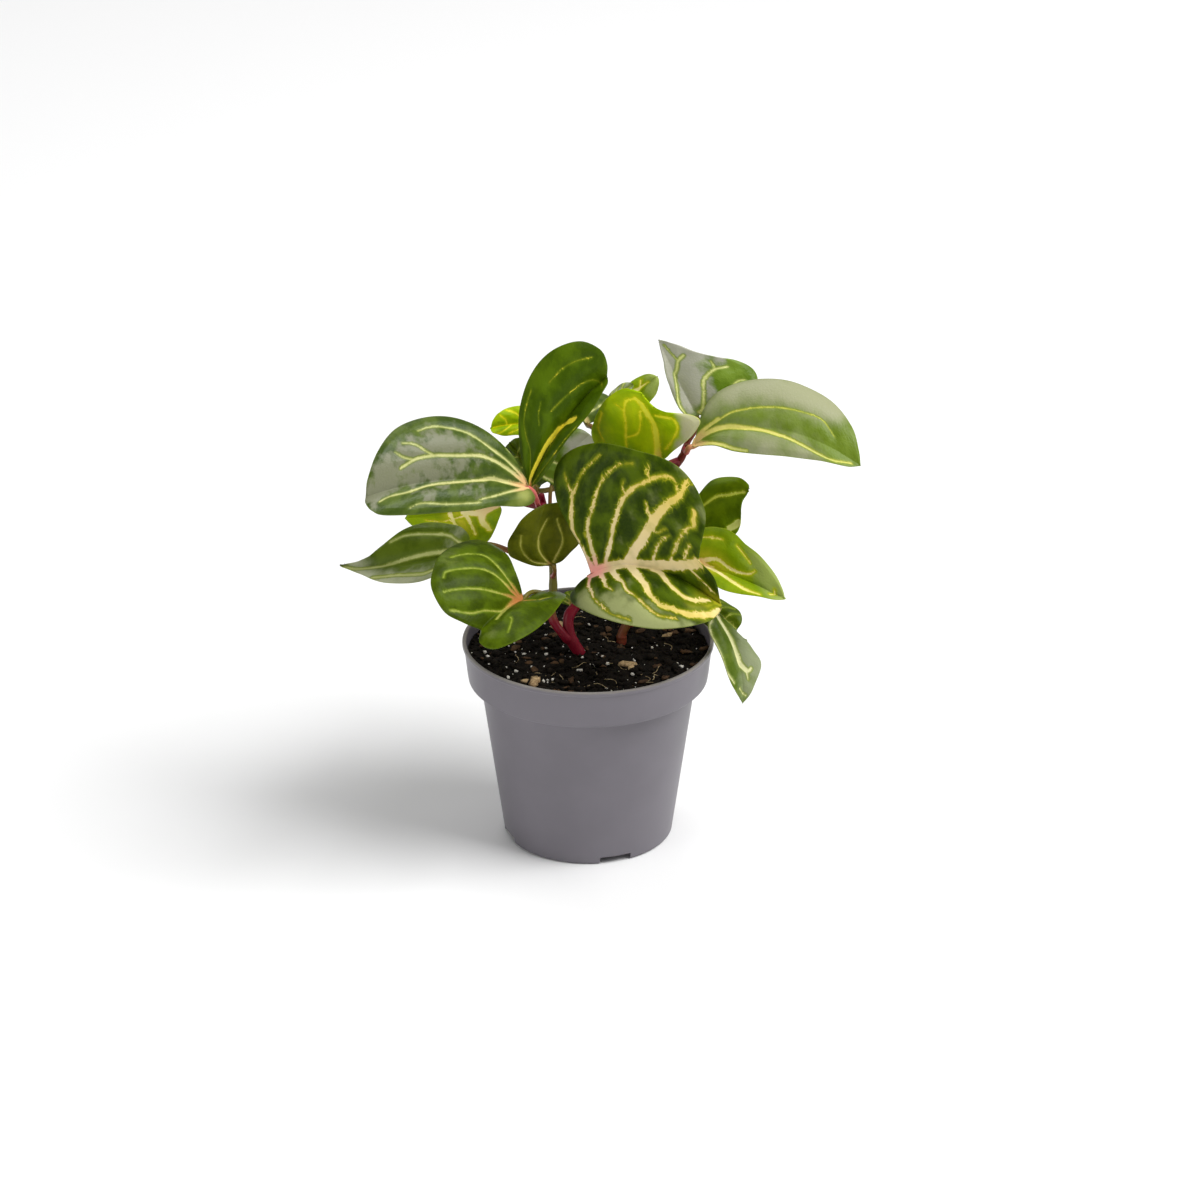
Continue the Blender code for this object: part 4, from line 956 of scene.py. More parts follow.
# %% Vein table
VEINS = {
    "leaf_left_upper": {
        "rib": (2.2, 0.6, [(0, 0), (0.07, -0.03), (0.16, 0), (0.25, 0.02), (0.36, -0.06), (0.5, -0.11),
                           (0.63, -0.12), (0.75, -0.22), (0.86, -0.22), (0.92, -0.3)]),
        "side": [
            (1.5, 0.5, [(0.02, -0.06), (0.06, -0.18), (0.13, -0.32), (0.21, -0.49), (0.31, -0.65)]),
            (0.7, 0.5, [(0.3, -0.72), (0.36, -0.75), (0.51, -0.75), (0.67, -0.64), (0.73, -0.72)]),
            (1.5, 1.0, [(0.02, 0.05), (0.11, 0.15), (0.22, 0.27), (0.32, 0.33), (0.45, 0.33), (0.63, 0.36),
                        (0.72, 0.34), (0.8, 0.26)]),
            (0.8, 0.5, [(0.6, 0.36), (0.65, 0.45), (0.7, 0.57), (0.77, 0.63)]),
            (0.8, 0.4, [(0.72, 0.34), (0.78, 0.41), (0.82, 0.51)]),
            (1.3, 0.5, [(0.02, 0.08), (0.14, 0.3), (0.23, 0.44), (0.31, 0.59), (0.38, 0.7), (0.48, 0.78),
                        (0.57, 0.82), (0.66, 0.78)]),
            (0.8, 0.4, [(0.02, 0.12), (0.07, 0.35), (0.13, 0.48)]),
        ],
    },
    "leaf_tall": {
        "rib": (2.4, 4.2, [(0, 0), (0.04, -0.08), (0.19, -0.07), (0.34, -0.07), (0.42, -0.04), (0.5, 0),
                           (0.55, 0.2), (0.57, 0.5)]),
        "side": [
            (0.1, -0.05, [(0.48, -0.36), (0.6, -0.32), (0.71, -0.28), (0.81, -0.23), (0.9, -0.12),
                          (0.94, 0.1), (0.86, 0.7)]),
            (-0.05, -0.1, [(0.56, -0.67), (0.69, -0.65), (0.81, -0.58), (0.94, -0.43)]),
            (0.05, 0.0, [(0.03, -0.1), (0.14, -0.32), (0.16, -0.52), (0.2, -0.69), (0.29, -0.79),
                         (0.39, -0.85)]),
            (-0.05, -0.1, [(0.33, -0.42), (0.36, -0.52), (0.42, -0.6)]),
            (0.05, 0.0, [(0.02, 0.2), (0.11, 0.42), (0.23, 0.68), (0.38, 0.86), (0.51, 0.96)]),
        ],
    },
    "leaf_front_large": {
        "rib": (7.0, 4.0, [(0, 0), (0.1, 0.02), (0.21, 0.01), (0.34, 0), (0.5, -0.02), (0.67, -0.09),
                           (0.83, -0.2), (0.9, -0.28)]),
        "side": [
            (2.4, 2.2, [(0.02, -0.04), (-0.01, -0.15), (-0.05, -0.3), (-0.08, -0.42), (-0.05, -0.68)]),
            (2.0, 0.4, [(-0.05, -0.68), (0, -0.74), (0.05, -0.81), (0.11, -0.85), (0.23, -0.92)]),
            (1.2, 0.5, [(-0.04, -0.7), (-0.08, -0.8), (-0.11, -0.9)]),
            (2.0, 2.4, [(0.05, -0.02), (0.06, -0.1), (0.05, -0.26), (0.05, -0.36), (0.08, -0.44)]),
            (2.0, 0.4, [(0.08, -0.44), (0.11, -0.49), (0.17, -0.61), (0.23, -0.71), (0.31, -0.79),
                        (0.39, -0.84), (0.5, -0.87)]),
            (2.6, 2.2, [(0.14, -0.02), (0.15, -0.06), (0.21, -0.17), (0.26, -0.29), (0.31, -0.41)]),
            (2.0, 1.2, [(0.31, -0.41), (0.38, -0.54), (0.45, -0.64), (0.52, -0.7), (0.62, -0.78),
                        (0.71, -0.85), (0.78, -0.88), (0.81, -0.84), (0.81, -0.76)]),
            (0.9, 0.5, [(0.62, -0.78), (0.6, -0.84), (0.62, -0.9)]),
            (1.0, 0.5, [(0.42, -0.6), (0.4, -0.66), (0.42, -0.72)]),
            (6.5, 3.8, [(0.33, 0), (0.36, -0.05), (0.4, -0.12), (0.49, -0.24), (0.58, -0.38)]),
            (4.6, 2.4, [(0.58, -0.38), (0.64, -0.5), (0.71, -0.6), (0.77, -0.69)]),
            (2.8, 1.2, [(0.77, -0.69), (0.83, -0.78), (0.87, -0.89), (0.9, -0.94)]),
            (1.6, 0.6, [(0.6, -0.46), (0.58, -0.52), (0.57, -0.58)]),
            (2.6, 1.8, [(0.92, -0.71), (0.91, -0.64), (0.9, -0.58)]),
            (1.2, 0.7, [(0.9, -0.58), (0.84, -0.5), (0.77, -0.35), (0.7, -0.18), (0.68, -0.1)]),
            (0.8, 0.5, [(0.86, -0.4), (0.82, -0.3), (0.79, -0.2)]),
            (1.6, 0.4, [(0.52, -0.04), (0.55, -0.1), (0.63, -0.27), (0.72, -0.38)]),
            (0.8, 0.4, [(0.56, -0.34), (0.63, -0.36), (0.7, -0.42)]),
            (2.0, 0.4, [(-0.01, 0.04), (-0.04, 0.12), (-0.05, 0.22), (-0.03, 0.48), (0.02, 0.63),
                        (0.07, 0.77),
                        (0.22, 0.92)]),
            (3.2, 0.4, [(0.07, 0.04), (0.09, 0.23), (0.09, 0.35), (0.14, 0.45)]),
            (5.0, 1.6, [(0.17, 0.03), (0.2, 0.24), (0.24, 0.35)]),
            (1.6, 0.5, [(0.24, 0.35), (0.26, 0.49), (0.32, 0.6), (0.39, 0.74), (0.46, 0.83), (0.6, 0.81)]),
            (6.0, 2.2, [(0.34, 0.04), (0.38, 0.24), (0.42, 0.39), (0.44, 0.55), (0.5, 0.68)]),
            (2.6, 3.2, [(0.5, 0.68), (0.61, 0.68), (0.73, 0.64), (0.89, 0.42), (0.98, 0.16)]),
            (5.5, 2.2, [(0.52, 0.02), (0.57, 0.06), (0.61, 0.22), (0.64, 0.3)]),
            (3.2, 1.8, [(0.64, 0.3), (0.7, 0.37), (0.76, 0.36), (0.83, 0.27), (0.91, 0.12)]),
            (1.4, 0.9, [(0.78, -0.16), (0.83, -0.15), (0.9, -0.12), (0.96, -0.08)]),
        ],
    },
    "leaf_right_bright": {
        "rib": (4.0, 1.1, [(0, 0), (0.1, -0.02), (0.28, 0.11), (0.47, 0.41), (0.62, 0.54), (0.77, 0.52)]),
        "side": [
            (2.4, 0.7, [(0.04, -0.05), (0.1, -0.09), (0.27, -0.24), (0.42, -0.16), (0.53, -0.14),
                        (0.64, -0.2),
                        (0.7, -0.32)]),
            (1.0, 0.5, [(-0.02, -0.5), (0.02, -0.6), (0.14, -0.7), (0.32, -0.76)]),
            (0.7, 0.3, [(0.48, -0.74), (0.56, -0.62), (0.64, -0.46)]),
            (0.9, 0.5, [(0.86, 0.2), (0.9, 0.05), (0.9, -0.1)]),
        ],
    },
    "leaf_right_long": {
        "rib": (2.5, 0.7, [(0, 0), (0.05, -0.07), (0.15, -0.09), (0.27, -0.05), (0.41, 0.06), (0.51, 0.18),
                           (0.6, 0.28), (0.7, 0.43), (0.77, 0.5), (0.85, 0.48), (0.95, 0.15)]),
        "side": [
            (0.5, 0.05, [(0.16, -0.21), (0.25, -0.3), (0.35, -0.33), (0.49, -0.37), (0.6, -0.4), (0.7, -0.42),
                        (0.79, -0.42), (0.86, -0.22)]),
            (2.4, 1.6, [(0.02, -0.05), (0.07, -0.15), (0.12, -0.2), (0.17, -0.25)]),
            (2.2, 0.8, [(0.01, 0.04), (0.09, 0.2), (0.19, 0.5), (0.26, 0.75), (0.34, 0.9)]),
        ],
    },
    "leaf_top_right": {
        "rib": (0.7, 1.0, [(0.05, -0.45), (0.19, -0.48), (0.36, -0.21), (0.55, 0.03), (0.69, 0.12),
                           (0.77, 0.22)]),
        "side": [
            (1.1, 0.8, [(0.04, 0.06), (0.09, 0.13), (0.26, 0.23), (0.42, 0.31), (0.52, 0.43), (0.57, 0.54),
                        (0.59, 0.68)]),
            (0.6, 0.4, [(0.57, 0.52), (0.62, 0.52), (0.67, 0.51)]),
            (0.9, 0.4, [(0.3, 0.58), (0.34, 0.63), (0.4, 0.72), (0.41, 0.82)]),
            (0.5, 0.3, [(0.69, 0.12), (0.8, 0.08), (0.92, 0.04)]),
        ],
    },
    "leaf_lime_young": {
        "rib": (3.0, 1.4, [(0, 0), (0.09, -0.02), (0.36, 0), (0.56, 0.02), (0.72, -0.04), (0.85, -0.07),
                           (0.93, -0.12)]),
        "side": [
            (1.0, 0.5, [(0.93, -0.12), (0.91, -0.25), (0.78, -0.34), (0.6, -0.38), (0.35, -0.45),
                        (0.2, -0.45)]),
            (0.6, 0.4, [(0.78, -0.34), (0.83, -0.38), (0.87, -0.43)]),
            (0.6, 0.4, [(0.76, -0.11), (0.61, -0.16), (0.46, -0.24), (0.41, -0.42)]),
            (0.5, 0.3, [(0.75, -0.72), (0.53, -0.86), (0.33, -0.83)]),
            (0.9, 0.5, [(0.69, 0.12), (0.68, 0.45), (0.56, 0.52), (0.4, 0.38), (0.21, 0.16)]),
        ],
    },
    "leaf_left_pointed": {
        "rib": (2.0, 1.2, [(0.02, 0.02), (0.17, 0.06), (0.31, 0.11), (0.44, 0.11), (0.59, 0.04),
                           (0.72, -0.09),
                           (0.87, -0.16), (0.97, -0.05)]),
        "side": [
            (1.2, 0.7, [(0.04, 0.06), (0.14, 0.27), (0.23, 0.44), (0.43, 0.57), (0.57, 0.58), (0.67, 0.47)]),
            (1.8, 1.2, [(0.06, -0.2), (0.28, -0.64), (0.42, -0.62), (0.55, -0.55), (0.72, -0.55)]),
        ],
    },
    "leaf_front_left": {
        "rib": (3.6, 1.6, [(-0.06, 0.02), (0.1, 0.01), (0.22, 0), (0.38, -0.04), (0.54, -0.08),
                           (0.71, -0.14)]),
        "side": [
            (1.0, 0.6, [(0, 0.02), (0.04, 0.08), (0.05, 0.28), (0.02, 0.51), (0.02, 0.73), (0.21, 0.87),
                        (0.42, 0.93)]),
            (1.2, 0.7, [(0.05, 0.03), (0.12, 0.14), (0.14, 0.23), (0.19, 0.44), (0.31, 0.6), (0.55, 0.74),
                        (0.74, 0.82), (0.86, 0.79)]),
            (1.2, 0.7, [(0.12, 0.03), (0.18, 0.08), (0.39, 0.23), (0.6, 0.39), (0.85, 0.55), (1.06, 0.67)]),
            (1.0, 0.7, [(0.4, -0.02), (0.52, 0.01), (0.76, 0.14), (1, 0.25), (1.22, 0.47)]),
            (0.6, 0.4, [(-0.07, -0.4), (-0.18, -0.4), (-0.28, -0.42)]),
            (0.7, 0.5, [(0.6, -0.42), (0.64, -0.5), (0.78, -0.61), (0.89, -0.68)]),
            (0.6, 0.4, [(0.1, -0.06), (0.05, -0.2), (-0.02, -0.34)]),
        ],
    },
    "leaf_centre_olive": {
        "rib": (1.2, 0.6, [(0, 0), (0.1, -0.07), (0.28, -0.11), (0.45, -0.03), (0.55, 0.03), (0.76, 0.16)]),
        "side": [
            (0.9, 0.5, [(0.03, -0.1), (0.12, -0.51), (0.32, -0.64), (0.55, -0.58)]),
            (0.9, 0.5, [(0.05, 0.08), (0.28, 0.43), (0.45, 0.53), (0.73, 0.4)]),
        ],
    },
    "leaf_right_hanging": {
        "rib": (2.4, 2.6, [(0, 0), (0.12, 0.12), (0.33, 0.04), (0.57, 0), (0.64, -0.12), (0.67, -0.22)]),
        "side": [
            (1.6, 1.0, [(0.67, -0.22), (0.67, -0.32), (0.64, -0.44)]),
            (0.9, 0.5, [(0.67, -0.22), (0.76, -0.24)]),
            (0.7, 0.5, [(0.08, 0.5), (0.16, 0.82), (0.37, 0.86), (0.62, 0.8), (0.78, 0.5)]),
            (0.6, 0.3, [(0.85, 0.2), (0.9, 0.0), (0.92, -0.1)]),
        ],
    },
    "leaf_right_middle": {
        "rib": (1.4, 1.2, [(0.02, 0.1), (0.17, 0), (0.4, -0.12), (0.65, -0.02), (0.91, 0.03)]),
        "side": [
            (3.0, 3.6, [(0.53, 0.86), (0.62, 0.84), (0.7, 0.8)]),
            (0.7, 0.5, [(0.3, 0.8), (0.42, 0.86), (0.53, 0.86)]),
        ],
    },
    "leaf_left_yellow": {
        "rib": (3.8, 2.2, [(0.0, -0.04), (0.09, -0.11), (0.21, -0.17), (0.38, -0.02)]),
        "side": [
            (4.6, 2.0, [(0.16, -0.15), (0.19, -0.3), (0.19, -0.46), (0.15, -0.71)]),
            (2.2, 1.2, [(0.38, -0.04), (0.35, -0.14), (0.31, -0.5), (0.3, -0.76)]),
            (2.0, 1.2, [(0.51, -0.01), (0.49, -0.27), (0.44, -0.64)]),
            (0.9, 0.5, [(0.35, -0.14), (0.6, -0.2), (0.78, -0.1)]),
        ],
    },
    "leaf_behind_tall": {
        "rib": (1.0, 0.5, [(0.02, -0.4), (0.05, -0.1), (0.08, 0.11)]),
        "side": [
            (1.0, 0.6, [(0.32, -0.32), (0.36, 0), (0.4, 0.36)]),
        ],
    },
    "leaf_top_small": {
        "rib": (1.8, 0.6, [(0.1, -0.2), (0.31, -0.45), (0.5, -0.24), (0.74, -0.13)]),
        "side": [
            (1.4, 0.6, [(0.4, -0.3), (0.5, -0.24), (0.68, -0.55)]),
        ],
    },
}


def plain_veins(count, width):
    """A midrib and some pairs of side veins that bend forward, a little out of step left and right."""
    rib = (2.2 * width, 0.7 * width, [(0, 0), (0.3, 0.02), (0.6, -0.02), (0.95, 0)])
    side_veins = []
    for k in range(count):
        for side in (-1, 1):
            start = (k + 0.25 + 0.3 * (side > 0)) / (count + 0.6)
            line = [(start, 0.02 * side), (start + 0.03, 0.3 * side), (start + 0.12, 0.6 * side),
                    (start + 0.27, 0.82 * side)]
            side_veins.append((1.3 * width, 0.5 * width, [p for p in line if p[0] < 0.97]))
    return {"rib": rib, "side": [vein for vein in side_veins if len(vein[2]) > 1]}


VEIN_TABLE = tuple(VEINS)
for name, leaf in LEAVES.items():
    if name not in VEINS:
        VEINS[name] = plain_veins(4, 0.75) if rib_length(leaf) > 35 else plain_veins(3, 0.45)
print("veins on each leaf:", {name: len(veins["side"]) for name, veins in VEINS.items()})

# %% [markdown]
# ## From veins to relief and pattern
# Every point of a leaf is told how deep it lies in a vein, in mm: above zero is inside and below zero is
# the distance to the nearest one. The finish paints the veins from that value, and the shape uses it too,
# because the blade puffs up between veins and sinks along them.

# %% How far each point is from the veins
def flat_place(leaf, along, out):
    """(along, signed out) as a place on the flattened leaf, in mm."""
    reach = [np.linalg.norm(leaf["left"]), np.linalg.norm(leaf["right"])]
    return np.stack([np.where(out < 0, out * reach[0], out * reach[1]), along * rib_length(leaf)], -1)


def vein_depth(leaf, veins, places):
    """For each place, how many mm it lies inside the nearest vein."""
    depth = np.full(len(places), -1e3)
    for start_width, end_width, line in [veins["rib"]] + veins["side"]:
        along, out = smooth_line(line, np.linspace(0, 1, 8 * len(line))).T
        path = flat_place(leaf, along, out)
        first, last = path[:-1], path[1:]
        step = last - first
        along_step = ((places[:, None] - first) * step).sum(2) / (step**2).sum(1)
        t = np.clip(along_step, 0, 1)
        distance = np.linalg.norm(places[:, None] - (first + t[..., None] * step), axis=2)
        width = start_width + (end_width - start_width) * (np.arange(len(step)) + t) / len(step)
        depth = np.maximum(depth, (width / 2 - distance).max(1))
    return depth


print("vein paths:", sum(len(v["side"]) + 1 for v in VEINS.values()))

# %% [markdown]
# ## Modelling a leaf
# The blade starts as a flat grid. Its rows follow the side veins and its two outer edges become the
# margin, and the whole grid is then bent onto the leaf's surface. Solidify gives it its thickness, with a
# second material on the underside. The stalk is a rod that runs on under the blade as the raised midrib.

# %% Blade, stalk and rib
STALK_RADIUS = 1.3  # in mm, as are the sizes of leaves
SMALL_LEAF = 40  # a shorter leaf than this has a thinner stalk
STALK_POINTS = 21  # the rest of the path is the rib under the blade


def fine_blade(name, leaf, rows, columns, number):
    """The blade as a thin closed sheet with its vein values."""
    deselect()
    bpy.ops.mesh.primitive_grid_add(x_subdivisions=2 * columns, y_subdivisions=rows, size=2.0)
    blade = bpy.context.object
    blade.name = name + "_blade"
    grid = points_of(blade.data)
    sideways, turn = grid[:, 0], (grid[:, 1] + 1) / 2 * math.pi
    v, start = np.abs(sideways), (1 - np.cos(turn)) / 2
    places, along_all, out_all, ups = np.zeros((len(grid), 3)), np.zeros(len(grid)), np.zeros(len(grid)), []
    for side, half in ((0, sideways < 0), (1, sideways >= 0)):
        end_along, end_out = outline(leaf, side, turn[half])
        along, out = start[half] + (end_along - start[half]) * v[half] ** 1.4, end_out * v[half]
        places[half] = blade_point(leaf, side, along, out)
        along_all[half], out_all[half] = along, out * (-1 if side == 0 else 1)
        ups.append(half_up(leaf, side))
    flat = flat_place(leaf, along_all, out_all)
    depth = vein_depth(leaf, VEINS[name], flat)
    half_width = np.where(out_all < 0, np.linalg.norm(leaf["left"]), np.linalg.norm(leaf["right"]))
    margin = (1 - v) * half_width * np.clip(np.sin(turn), 0.05, 1)
    puff = 0.75 * (1 - np.exp(-(np.clip(-depth, 0, None) / 3.0) ** 1.5)) - 0.25 * (depth > 0)
    puff *= np.clip(margin / 3, 0, 1)
    wave = 0.7 * v**4 * np.sin(turn * (5.3 + number % 3) + number) * np.sin(turn)
    mix = np.clip(0.5 + sideways * 4, 0, 1)[:, None]
    up = unit(ups[0] * (1 - mix) + ups[1] * mix)
    places += up * (puff + wave + 0.25)[:, None]
    blade.data.vertices.foreach_set("co", (places * MM).reshape(-1))
    keep_value(blade.data, "vein", depth)
    keep_value(blade.data, "share", np.clip(0.35 * along_all + np.abs(out_all), 0, 1))
    keep_value(blade.data, "margin", margin)
    # The painted sheen spots and the painted glow spots become values for the finish.
    for kind, spots in (("sheen_spots", SHEEN_SPOTS.get(name, ())), ("glow", GLOW.get(name, ()))):
        without = np.ones(len(grid))
        for spot_along, spot_out, reach, amount in spots:
            spot = flat_place(leaf, np.array([spot_along]), np.array([spot_out]))
            without *= 1 - amount * np.exp(-((np.linalg.norm(flat - spot, axis=1) / reach) ** 2))
        keep_value(blade.data, kind, 1 - without)
    keep_value(blade.data, "flat", np.column_stack([flat * MM, np.full(len(flat), number * 0.13)]),
               "FLOAT_VECTOR")
    choose(blade)
    bpy.ops.object.mode_set(mode="EDIT")
    bpy.ops.mesh.select_all(action="SELECT")
    bpy.ops.mesh.remove_doubles(threshold=2e-5)
    bpy.ops.object.mode_set(mode="OBJECT")
    apply_modifier(blade, "SOLIDIFY", thickness=0.5 * MM, offset=-1.0, material_offset=1,
                   material_offset_rim=0)
    blade.data.shade_smooth()
    return blade


def stalk_path(leaf):
    """Points and radii of the stalk and of the rib that it becomes under the blade."""
    name, share = leaf["root"]
    stem = STEMS[name]
    base, middle, tip = (np.array(leaf[k], float) for k in ("base", "middle", "tip"))
    near, centre, far = stem_points(name, (max(share - 0.02, 0), share, min(share + 0.02, 1)))
    along = unit(far - near)
    away = base - centre
    away = unit(away - along * away.dot(along))
    root = centre + away * (stem_radius(stem, share) + 0.3)
    length = np.linalg.norm(base - root)
    leave = unit(4 * middle - 3 * base - tip)
    below = unit(np.cross(np.array(leaf["right"], float) - np.array(leaf["left"], float), leave))
    last = base - (leave - 0.5 * below) * length * 0.35
    if "bend" in leaf:
        last = base + np.array(leaf["bend"], float)
    handles = root + away * length * 0.35, last
    t = np.linspace(0, 1, 20)[:, None]
    bent = (1 - t) ** 3 * root + 3 * t * (1 - t) ** 2 * handles[0]
    bent = bent + 3 * t**2 * (1 - t) * handles[1] + t**3 * base
    radius = STALK_RADIUS * min(1.0, np.linalg.norm(tip - base) / SMALL_LEAF)
    rib_share = np.linspace(0.04, 0.85, 16)
    rib_radius = radius * (0.95 - 0.8 * rib_share)
    up = unit(half_up(leaf, 0) + half_up(leaf, 1))
    rib = blade_point(leaf, 0, rib_share, np.zeros(16)) - up * (rib_radius + 0.12)[:, None]
    bent[-4:] -= up * (np.linspace(0.2, 1.0, 4) * radius * 0.75)[:, None]
    inner = centre + away * 0.3
    radii = np.concatenate([[radius * 1.5], radius * (1 + 0.35 * np.exp(-np.linspace(0, 9, 20))), rib_radius])
    return np.vstack([inner, bent, rib]), radii


def make_leaf(name, leaf, number):
    """Blade and stalk as one piece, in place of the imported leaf."""
    rows, columns = (140, 52) if name in VEIN_TABLE else (80, 30)
    if name == "leaf_front_large":
        rows, columns = 210, 84
    if name.startswith("leaf_back"):
        rows, columns = 60, 22
    blade = fine_blade(name, leaf, rows, columns, number)
    line, radii = stalk_path(leaf)
    stalk = rod(name + "_stalk", line, radii, round_steps=3)
    points = points_of(stalk.data) / MM
    nearest = np.linalg.norm(points[:, None] - line[None], axis=2).argmin(1)
    keep_value(stalk.data, "share", np.clip(nearest / STALK_POINTS, 0, 1))
    blade.data.materials.clear()
    for paint in leaf_materials(name):
        blade.data.materials.append(paint)
    stalk.data.materials.clear()
    for paint in blade.data.materials:
        stalk.data.materials.append(paint)
    for face in stalk.data.polygons:
        face.material_index = 2
    choose(blade, stalk)
    bpy.ops.object.join()
    blade = bpy.context.object
    blade.name = name + "_fine"
    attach(blade, "root")
    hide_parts(name)
    return blade


print("leaf shapes are ready")

# %% [markdown]
# ## Leaf finishes
# No two leaves have one colour: the old ones are dark bottle green, the young ones lime, and parts of some
# carry a painted silvery sheen, which stands for the bright room reflected in a glossy blade. The same recipe
# paints all of them. It blends two greens by a soft noise, adds the painted sheen at a leaf's sheen spots,
# then a fine net of small veins, a yellow border along each vein, the cream vein itself with ragged edges,
# and a pink or salmon blush at the base. At its glow spots a leaf is warmed towards the colour of its veins'
# edges: painted light, as if light showed through the blade.

# %% Colours of each leaf
GREENS = {  # blade dark, blade light, painted sheen, by the veins, vein edge, vein at its root, vein at its end
    "dark": ((56, 78, 2), (78, 102, 6), (128, 136, 92), (84, 104, 8), (122, 132, 24), (255, 236, 66),
             (255, 226, 70)),
    "front": ((42, 60, 2), (78, 98, 6), (164, 170, 112), (100, 116, 8), (160, 158, 30), (255, 236, 196),
              (232, 206, 104)),
    "sheen_grey": ((54, 74, 10), (84, 102, 30), (124, 126, 100), (104, 118, 50), (154, 160, 84), (216, 210, 142),
               (190, 196, 132)),
    "pale": ((86, 114, 14), (112, 138, 40), (172, 172, 154), (124, 142, 56), (172, 182, 92), (226, 228, 150),
             (212, 216, 140)),
    "pointed": ((78, 98, 6), (98, 118, 22), (188, 192, 156), (126, 142, 50), (160, 172, 82), (210, 214, 138),
                (196, 202, 128)),
    "left": ((54, 70, 2), (80, 100, 6), (120, 132, 66), (90, 110, 12), (120, 136, 36), (178, 172, 88),
             (150, 164, 72)),
    "olive": ((64, 70, 2), (86, 90, 10), (112, 112, 54), (98, 102, 16), (124, 126, 42), (178, 168, 92),
              (152, 150, 66)),
    "bright": ((114, 142, 2), (136, 160, 6), (148, 164, 80), (156, 172, 14), (204, 196, 44), (255, 240, 190),
               (236, 232, 110)),
    "lime": ((146, 180, 2), (176, 202, 6), (194, 192, 150), (190, 204, 12), (236, 230, 30), (255, 250, 70),
             (238, 244, 60)),
    "long": ((96, 118, 22), (112, 134, 42), (160, 162, 126), (128, 144, 50), (182, 186, 66), (232, 220, 116),
             (204, 210, 120)),
    "hanging": ((76, 98, 6), (104, 122, 36), (140, 148, 112), (124, 140, 60), (170, 176, 104),
                (230, 228, 176),
                (222, 222, 166)),
    "middle": ((86, 112, 2), (112, 138, 6), (140, 150, 90), (124, 146, 12), (168, 188, 36), (232, 244, 84),
               (248, 250, 150)),
}
# green, ragged veins in mm, mottled 0 to 1 (how patchy the painted sheen and glow are),
# blush colour, blush reach in mm, roughness, specular
LEAF_LOOK = {
    "leaf_left_upper": ("sheen_grey", 0.3, 0.9, (234, 190, 134), 13, 0.38, 0.2),
    "leaf_tall": ("dark", 0.4, 0.5, (240, 190, 110), 5, 0.4, 0.08),
    "leaf_front_large": ("front", 0.9, 0.35, (255, 184, 172), 15, 0.4, 0.08),
    "leaf_right_bright": ("bright", 0.5, 0.3, (255, 214, 150), 12, 0.42, 0.1),
    "leaf_right_long": ("long", 0.25, 0.2, (226, 190, 130), 12, 0.38, 0.2),
    "leaf_top_right": ("pale", 0.35, 0.7, (190, 180, 110), 5, 0.36, 0.2),
    "leaf_lime_young": ("lime", 0.5, 0.3, (255, 226, 100), 9, 0.45, 0.08),
    "leaf_left_pointed": ("pointed", 0.3, 0.4, (190, 180, 110), 5, 0.38, 0.2),
    "leaf_front_left": ("left", 0.3, 0.5, (182, 122, 68), 17, 0.4, 0.08),
    "leaf_centre_olive": ("olive", 0.25, 0.6, (150, 120, 60), 4, 0.42, 0.06),
    "leaf_right_hanging": ("hanging", 0.3, 0.3, (230, 214, 170), 6, 0.38, 0.2),
    "leaf_behind_tall": ("pale", 0.3, 0.5, (190, 190, 110), 4, 0.4, 0.15),
    "leaf_right_middle": ("middle", 0.3, 0.5, (160, 170, 60), 4, 0.4, 0.1),
    "leaf_left_yellow": ("bright", 0.6, 0.3, (240, 208, 150), 16, 0.42, 0.1),
    "leaf_top_left_small": ("lime", 0.3, 0.4, (190, 180, 60), 4, 0.45, 0.08),
    "leaf_top_small": ("bright", 0.3, 0.4, (200, 180, 70), 4, 0.45, 0.08),
    "leaf_top_tiny": ("pale", 0.3, 0.3, (150, 150, 80), 3, 0.42, 0.2),
    "leaf_back_top": ("sheen_grey", 0.4, 0.4, (190, 170, 110), 6, 0.38, 0.2),
}
PLAIN_LOOK = ("left", 0.4, 0.5, (170, 150, 80), 5, 0.4, 0.12)  # of the leaves not named above
